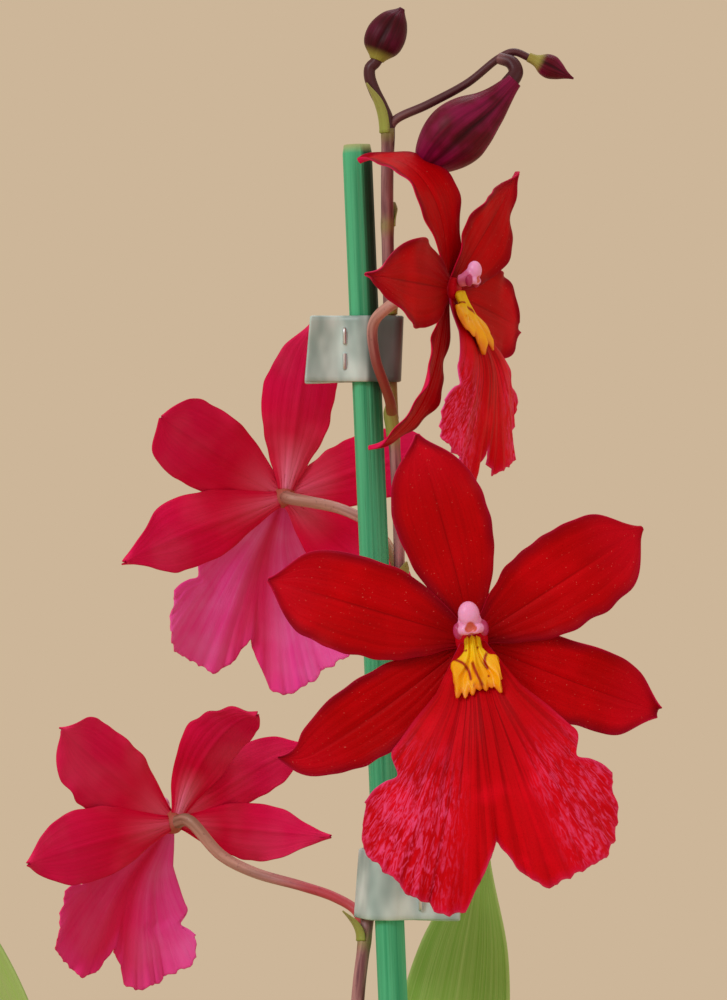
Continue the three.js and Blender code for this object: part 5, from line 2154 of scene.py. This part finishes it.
@dataclass(frozen=True)
class Leaf:
    """A strap leaf on a bent line from its base over a control point to its tip."""

    name: str
    line: Path
    width: float
    faces: Point = (0, 0, 1)
    shape: tuple[float, ...] = LEAF_SHAPE
    base_fold: float = 45
    open_fold: float = 10
    thick: float = 1.0
    thin: float = 0.5

    def surface(self) -> Surface:
        """The leaf's middle surface: folded at its base, with a creased rib and a soft wave."""
        start, bend, end = (np.array(p, float) for p in self.line)
        seed = int(sum(abs(v) for v in self.line[2]))

        def at(s: Array, t: Array) -> Array:
            """A point of the surface."""
            t = np.clip(t, 0, 1)
            u = t[..., None]
            point = start * (1 - u) ** 2 + bend * 2 * u * (1 - u) + end * u * u
            ahead = unit((bend - start) * (1 - u) + (end - bend) * u)
            side = unit(np.cross(ahead, np.array(self.faces, float)))
            up = np.cross(side, ahead)
            half = self.width / 2 * profile(self.shape, t)
            opened = (self.open_fold - self.base_fold) * np.minimum(1, t * 2.2)
            fold = np.radians(self.base_fold + opened)
            reach = np.sqrt(s * s + 0.0016) - 0.04
            wave = 0.5 * ripple(t, seed, 1, 4) * s * np.abs(s) * ramp(t, 0.1, 0.5)
            veins = 0.05 * np.cos(40 * s) * (1 - t**6)
            rise = reach * half * np.sin(fold) + wave + veins
            return point + side * (s * half * np.cos(fold))[..., None] + up * rise[..., None]

        return at

    def thickness(self, s: Array, t: Array) -> Array:
        """Thick along the rib, thin at the edge."""
        rib = np.exp(-((s / 0.1) ** 2)) * 0.5 * (1 - t)
        return self.thin + (self.thick - self.thin) * (1 - np.abs(s)) + rib

    def build(self, tone: float) -> None:
        """Makes the leaf. tone shifts its pattern."""
        skin = Skin(f"{self.name}_blade")
        marks = {"tone": lambda s, t: tone}
        add_blade(skin, self.surface(), 40, 90, self.thickness, marks=marks)
        skin.show(LeafFinish(), self.name)


LEAVES = (
    Leaf("leaf_1", ((-31.3, -13.6, 170.8), (-46, -22, 272), (-79, -40, 343)), 27),
    Leaf("leaf_2", ((-26.7, -12.4, 170.8), (-4, -36, 275), (62, -80, 262)), 26),
    Leaf("leaf_3", ((6.2, 19, 166.8), (-1, 26, 255), (14.6, 17, 333)), 24, faces=(0, -1, 0.2)),
    Leaf("leaf_4", ((1.6, 21, 166.8), (-20, 46, 290), (-84, 92, 262)), 27),
    Leaf("leaf_5", ((35, -9, 158.8), (62, -18, 262), (128, -32, 236)), 26),
    Leaf("leaf_6", ((33.2, -2.6, 158.8), (46, 30, 262), (92, 90, 248)), 25),
    Leaf("leaf_7", ((-27.4, 30.4, 146.8), (-50, 56, 236), (-112, 84, 196)), 24),
    Leaf("leaf_8", ((-36, -28, 94), (-52, -46, 186), (-106, -84, 206)), 22, shape=SHEATH_SHAPE),
    Leaf("leaf_9", ((-8, -34, 94), (0, -54, 178), (36, -114, 176)), 21, shape=SHEATH_SHAPE),
)


@dataclass(frozen=True)
class Bulb:
    """A flattened, ribbed bulb, narrowed to its tip. turn is the way of its wide side."""

    name: str
    foot: Point
    tip: Point
    wide: float
    thick: float
    turn: float
    shape: tuple[float, ...] = (0.5, 0.84, 1, 0.96, 0.8, 0.6, 0.4, 0.26)

    def build(self) -> None:
        """Makes the bulb."""
        skin = Skin(f"{self.name}_body")
        seed = int(self.wide * 10)

        def radius(t: Array, angle: Array) -> Array:
            """An oval with seven soft ribs and shallow wrinkles."""
            oval = 1 / np.hypot(np.cos(angle) / self.wide, np.sin(angle) / self.thick)
            ribs = 1 + 0.03 * np.cos(7 * angle) + 0.008 * np.cos(23 * angle + 2 * t + seed)
            return oval * ribs * profile(self.shape, t)

        side = (math.cos(math.radians(self.turn)), math.sin(math.radians(self.turn)), 0)
        add_tube(skin, Line([self.foot, self.tip]), radius, 72, 56, side)
        skin.show(BulbFinish(), self.name)


BULBS = (
    Bulb("bulb_1", (-27, -11, 94), (-29, -13, 170), 17, 10.5, 12),
    Bulb("bulb_2", (3, 20, 94), (4, 20, 166), 16, 10, -25),
    Bulb("bulb_3", (30, -4, 94), (34, -6, 158), 15, 9.5, 70),
    Bulb("bulb_4", (-24, 27, 94), (-27, 30, 146), 13.5, 8.5, 40),
)


@dataclass(frozen=True)
class Roots:
    """The creeping rhizome in the bark, with the roots that rise out of it and dip again."""

    radius: float = 4
    root: float = 1.9
    path: Path = (
        (-30, 33, 90), (-24, 25, 90), (-8, 24, 89), (6, 18, 90), (20, 5, 89), (28, -5, 90),
        (8, -17, 88), (-16, -12, 90), (-27, -9, 90),
    )
    roots: tuple[Path, ...] = (
        ((-27, -9, 90), (-36, -10, 96), (-42, -14, 100.5), (-45, -21, 99), (-43, -26, 92),
         (-40, -29, 84)),
        ((8, -17, 88), (12, -26, 96), (16, -33, 101.5), (22, -39, 101), (27, -41, 94),
         (30, -40, 85)),
        ((28, -5, 90), (37, -12, 97), (43, -14, 101.5), (48, -9, 100), (49, -1, 93), (48, 5, 85)),
        ((6, 18, 90), (12, 27, 97), (18, 35, 101.5), (25, 40, 99), (31, 39, 91), (34, 36, 84)),
        ((-30, 33, 90), (-37, 26, 97), (-43, 18, 101), (-48, 9, 99), (-49, 1, 91), (-48, -4, 84)),
    )

    def build(self) -> None:
        """Makes the rhizome and its roots."""
        skin = Skin("rhizome_roots_body")

        def creeping(t: Array, turn: Array) -> Array:
            """Ringed and tapered at both ends."""
            rings = 1 + 0.05 * np.sin(70 * t) + 0.03 * np.cos(3 * turn)
            return self.radius * profile((0.3, 1, 1, 1, 1, 0.3), t) * rings

        def fine(t: Array, turn: Array) -> Array:
            """Tapered to the root's tip."""
            lumps = 1 + 0.05 * np.sin(19 * t + 1) * np.cos(2 * turn)
            return (self.root + (0.1 - self.root) * t**4) * lumps

        add_tube(skin, Line(self.path), creeping, 20, 90)
        for points in self.roots:
            add_tube(skin, Line(points), fine, 18, 60)
        skin.show(RootFinish(), "rhizome_roots")


# Pot and bark


@dataclass(frozen=True)
class Pot:
    """The plain round pot with a stepped rim band and drain holes."""

    height: float = 112
    rim_radius: float = 62
    foot_radius: float = 44
    wall: float = 1.8
    floor: float = 3
    band_height: float = 15
    band_step: float = 2.2
    hole_radius: float = 4
    hole_circle: float = 27
    holes: int = 6
    turns: int = 144

    def wall_at(self, z: float) -> float:
        """The outer radius under the band at a height."""
        flare = self.rim_radius - self.band_step - self.foot_radius
        return self.foot_radius + flare * z / self.height

    def _profile(self) -> list[tuple[float, float]]:
        """The turned outline: radius and height, from the foot's middle round to the floor's."""
        band = self.height - self.band_height
        lip = self.wall_at(self.height) - self.wall
        corners = [
            ((self.foot_radius, 0.0), 2.0), ((self.wall_at(band), band), 0.6),
            ((self.wall_at(band) + self.band_step, band + 0.9), 0.7),
            ((self.rim_radius, self.height), 1.0), ((lip, self.height), 0.6),
            ((self.wall_at(self.floor) - self.wall, self.floor), 2.0),
        ]
        points = [(r, 0.0) for r in np.linspace(0, self.foot_radius - 4, 12)]
        ends = [points[-1], *[corner for corner, _ in corners], (0.0, self.floor)]
        for k, (corner, size) in enumerate(corners):
            before = unit(np.subtract(ends[k], corner)) * size
            after = unit(np.subtract(ends[k + 2], corner)) * size
            for f in np.linspace(0, 1, 6):
                bent = before * (1 - f) ** 2 + after * f * f
                points.append(tuple(np.asarray(corner) + bent))
        points += [(r, self.floor) for r in np.linspace(self.hole_circle + 12, 0, 12)]
        return points

    def build(self) -> None:
        """Turns the outline, bores the drain holes and dresses the pot."""
        rows = self._profile()
        mesh = bpy.data.meshes.new("pot_shell")
        steps = [(k, k + 1) for k in range(len(rows) - 1)]
        mesh.from_pydata([(r * MM, 0, z * MM) for r, z in rows], steps, [])
        start = placed("pot_shell", mesh)

        recipe = Recipe("Turned pot")
        turns = recipe.size("Turns", self.turns, "NodeSocketInt")
        hole_radius = recipe.size("Hole radius", self.hole_radius * MM)
        circle = recipe.size("Hole circle", self.hole_circle * MM)
        holes = recipe.size("Holes", self.holes, "NodeSocketInt")
        rim = len(rows)
        grid = recipe.node(
            "GeometryNodeMeshGrid", inputs={"Vertices X": turns + 1.0, "Vertices Y": rim}
        )
        index = recipe.node("GeometryNodeInputIndex")
        row = index.math("MODULO", float(rim))
        turn = index.math("DIVIDE", float(rim)).math("FLOOR") / turns * (2 * math.pi)
        place = recipe.node("GeometryNodeInputPosition")
        outline = recipe.node(
            "GeometryNodeSampleIndex",
            {"data_type": "FLOAT_VECTOR"},
            {"Geometry": recipe.base(), "Value": place, "Index": row},
        )
        parts = recipe.node("ShaderNodeSeparateXYZ", inputs={0: outline})
        radius = parts.out(0)
        spot = recipe.vector(
            radius * turn.math("COSINE"), radius * turn.math("SINE"), parts.out(2)
        )
        wrap = recipe.node("GeometryNodeSetPosition", inputs={"Geometry": grid, "Position": spot})
        shell = recipe.node(
            "GeometryNodeMergeByDistance", inputs={"Geometry": wrap, "Distance": 1e-6}
        )
        drill = recipe.node(
            "GeometryNodeMeshCylinder",
            inputs={"Vertices": 40, "Radius": hole_radius, "Depth": 4 * self.floor * MM},
        )
        spots = recipe.node("GeometryNodeMeshCircle", inputs={"Vertices": holes, "Radius": circle})
        drills = recipe.node(
            "GeometryNodeInstanceOnPoints", inputs={"Points": spots, "Instance": drill}
        )
        real = recipe.node("GeometryNodeRealizeInstances", inputs={"Geometry": drills})
        bored = recipe.node(
            "GeometryNodeMeshBoolean",
            {"operation": "DIFFERENCE"},
            {"Mesh 1": shell, "Mesh 2": real},
        )
        pot = recipe.run(start, bored, PotFinish())
        smooth_by_angle(pot, 32)
        show(pot, PotFinish(), "pot")


def smooth_by_angle(piece: bpy.types.Object, degrees: float) -> None:
    """Smooths a piece, but for edges that bend more than an angle."""
    mesh = piece.data
    mesh.shade_smooth()
    mesh.set_sharp_from_angle(angle=math.radians(degrees))


@dataclass(frozen=True)
class Bark:
    """The bed of bark chips in the pot, clear of its wall and of all that stands in it."""

    top: float = 96
    bottom: float = 3.3
    chip: Point = (15, 10, 5)
    spacing: float = 4.6
    from_wall: float = 8.5
    from_bulb: float = 0.85
    from_stake: float = 6.0
    from_stem: float = 6.5
    seed: int = 5

    def _bed(self, pot: Pot, open_at: Placing) -> bpy.types.Object:
        """The filled body under the loose chips."""
        skin = Skin("bark_chips")
        inner = pot.wall_at(self.top) - pot.wall - 0.5
        foot = pot.wall_at(self.bottom) - pot.wall - 0.5
        rings, sides = 30, 96
        turn = np.arange(sides) * 2 * math.pi / sides
        shares = np.linspace(1, 1 / rings, rings)
        levels = [(foot * share, self.bottom) for share in shares[::-1]]
        levels += [
            (foot + (inner - foot) * f, self.bottom + (self.top - self.bottom) * f)
            for f in np.linspace(0.1, 0.9, 9)
        ]
        levels += [(inner * share, self.top) for share in shares]
        body = [
            np.stack([radius * np.cos(turn), radius * np.sin(turn), np.full(sides, z)], axis=1)
            for radius, z in levels
        ]
        points = np.concatenate([*body, [[0, 0, self.bottom]], [[0, 0, self.top]]])
        upper = points[:, 2] > self.top - 0.1
        points[upper, 2] += 1.6 * swell(points[upper], 31, 16) + 0.7 * swell(points[upper], 32, 6)
        faces = np.concatenate(ring_faces(len(levels), sides))
        marks = {"open": open_at(points) * upper, "chip": np.full(len(points), 0.1)}
        skin.add(points, faces, np.zeros((len(faces), 4, 2)), marks)
        return skin.built(BarkFinish())

    def build(self, pot: Pot, bulbs: Sequence[Bulb], stake: Stake, stem: FlowerStem) -> None:
        """Scatters chips over the bed, clear of all that stands in it."""
        inner = pot.wall_at(self.top) - pot.wall
        middles = [(np.array(bulb.foot), bulb.wide * self.from_bulb) for bulb in bulbs]
        middles.append((stake.at(self.top), self.from_stake))
        middles.append((np.array(stem.path[0]), self.from_stem))

        def open_at(points: Array) -> Array:
            """1 where a chip may lie."""
            free = np.hypot(points[:, 0], points[:, 1]) < inner - self.from_wall
            for middle, away in middles:
                free &= np.hypot(points[:, 0] - middle[0], points[:, 1] - middle[1]) > away
            return free.astype(float)

        start = self._bed(pot, open_at)
        recipe = Recipe("Bark chips")
        spacing = recipe.size("Spacing", self.spacing * MM)
        seed = recipe.size("Seed", self.seed, "NodeSocketInt")
        largest = recipe.size("Chip", [v * MM for v in self.chip], "NodeSocketVector")
        bed = recipe.base()
        free = recipe.node(
            "GeometryNodeInputNamedAttribute", {"data_type": "FLOAT"}, {"Name": "open"}
        )
        spots = recipe.node(
            "GeometryNodeDistributePointsOnFaces",
            {"distribute_method": "POISSON"},
            {
                "Mesh": bed,
                "Selection": free.math("GREATER_THAN", 0.5),
                "Distance Min": spacing,
                "Density Max": 90000.0,
                "Seed": seed,
            },
        )
        chip = recipe.node(
            "GeometryNodeMeshCube",
            inputs={"Size": largest, "Vertices X": 5, "Vertices Y": 4, "Vertices Z": 3},
        )

        def draw(low: tuple[float, ...], high: tuple[float, ...], own: int) -> Signal:
            """A random vector for each chip."""
            return recipe.node(
                "FunctionNodeRandomValue",
                {"data_type": "FLOAT_VECTOR"},
                {"Min": low, "Max": high, "Seed": seed + float(own)},
            )

        tilt = math.radians(24)
        laid = recipe.node(
            "GeometryNodeInstanceOnPoints",
            inputs={
                "Points": spots,
                "Instance": chip,
                "Rotation": draw((-tilt, -tilt, 0), (tilt, tilt, 2 * math.pi), 1),
                "Scale": draw((0.5, 0.5, 0.55), (1.15, 1.15, 1.2), 2),
            },
        )
        lifted = recipe.node(
            "GeometryNodeTranslateInstances",
            inputs={"Instances": laid, "Translation": draw((0, 0, 0.0), (0, 0, 3.2 * MM), 3)},
        )
        tones = recipe.node("ShaderNodeSeparateXYZ", inputs={0: draw((0.1,) * 3, (1,) * 3, 4)})
        toned = recipe.node(
            "GeometryNodeStoreNamedAttribute",
            {"data_type": "FLOAT", "domain": "INSTANCE"},
            {"Geometry": lifted, "Name": "chip", "Value": tones},
        )
        real = recipe.node("GeometryNodeRealizeInstances", inputs={"Geometry": toned})
        place = recipe.node("GeometryNodeInputPosition")
        rough = recipe.node(
            "ShaderNodeTexNoise", inputs={"Vector": place, "Scale": 150.0, "Detail": 3.0}
        ).out("Color")
        centred = recipe.node(
            "ShaderNodeVectorMath", {"operation": "SUBTRACT"}, {0: rough, 1: (0.5,) * 3}
        )
        pushed = recipe.node(
            "ShaderNodeVectorMath", {"operation": "MULTIPLY"}, {0: centred, 1: (6 * MM,) * 3}
        )
        bent = recipe.node("GeometryNodeSetPosition", inputs={"Geometry": real, "Offset": pushed})
        whole = recipe.node("GeometryNodeJoinGeometry")
        for part in (bent, bed):
            recipe.tree.links.new(part.socket, whole.node.inputs[0])
        bark = recipe.run(start, whole, BarkFinish())
        smooth_by_angle(bark, 40)
        show(bark, BarkFinish(), "bark")


# Studio


@dataclass(frozen=True)
class Studio:
    """The floor, the light and the camera. Sizes are in metres."""

    camera_at: Point = (-0.006, -0.732, 0.389)
    lens: float = 160.27
    sensor: float = 36.0
    near: float = 0.05
    aim: Point = (0, 0, 0.34)
    floor_radius: float = 2.4
    backdrop: Colour = (205, 182, 153)
    lights: tuple[tuple[str, Point, float, float, Colour], ...] = (
        ("Key", (-1.5, -1.5, 1.7), 0.8, 20, (244, 248, 255)),
        ("Fill", (1.7, -1.8, 0.9), 1.6, 5, (236, 240, 255)),
        ("Top", (0.2, 0.9, 2.2), 1.2, 12, (240, 246, 255)),
    )

    def _light(self, name: str, place: Point, size: float, power: float, tint: Colour) -> None:
        """Adds a soft square light that faces the plant."""
        lamp = bpy.data.lights.new(name, "AREA")
        lamp.shape = "SQUARE"
        lamp.size = size
        lamp.energy = power
        lamp.color = linear(tint)[:3]
        made = placed(name, lamp)
        made.location = place
        way = Vector(self.aim) - made.location
        made.rotation_euler = way.to_track_quat("-Z", "Y").to_euler()

    def _floor(self) -> None:
        """Makes the floor, which the plant stands on."""
        skin = Skin("studio_floor")
        line = Line([[0, 0, -12], [0, 0, 0]])
        wide = self.floor_radius / MM
        add_tube(skin, line, lambda t, turn: wide, 96, 1, (1, 0, 0))
        skin.built(FloorFinish(), smooth=False)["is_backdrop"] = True

    def build(self) -> None:
        """Sets the scene round the plant."""
        self._floor()
        scene = bpy.context.scene
        world = bpy.data.worlds.new("Studio")
        world.use_nodes = True
        ground = world.node_tree.nodes["Background"]
        ground.inputs["Color"].default_value = linear(self.backdrop)
        ground.inputs["Strength"].default_value = 1.0
        scene.world = world
        scene.view_settings.view_transform = "Standard"
        for light in self.lights:
            self._light(*light)

        camera = bpy.data.cameras.new("Camera")
        camera.lens = self.lens
        camera.sensor_width = self.sensor
        camera.clip_start = self.near
        scene.camera = placed("Camera", camera)
        scene.camera.location = self.camera_at
        scene.camera.rotation_euler = (math.pi / 2, 0, 0)


def corners() -> list[list[float]]:
    """The whole object's box as plain lists."""
    return [[float(value) for value in corner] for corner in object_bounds()]


def main() -> None:
    """Loads the frame, dresses every node and sets the studio."""
    logging.basicConfig(level=logging.INFO, format="%(message)s", stream=sys.stdout)
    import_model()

    pot, stake, stem = Pot(), Stake(), FlowerStem()
    for bloom in BLOOMS:
        bloom.build()
    stem.build(BLOOMS)
    for bud in BUDS:
        bud.build()
    stake.build()
    for tie in TIES:
        tie.build(stake, stem)
    for k, leaf in enumerate(LEAVES):
        leaf.build(LEAF_TONE * (k + 1))
    for bulb in BULBS:
        bulb.build()
    Roots().build()
    pot.build()
    Bark().build(pot, BULBS, stake, stem)
    Studio().build()


if __name__ == "__main__":
    main()
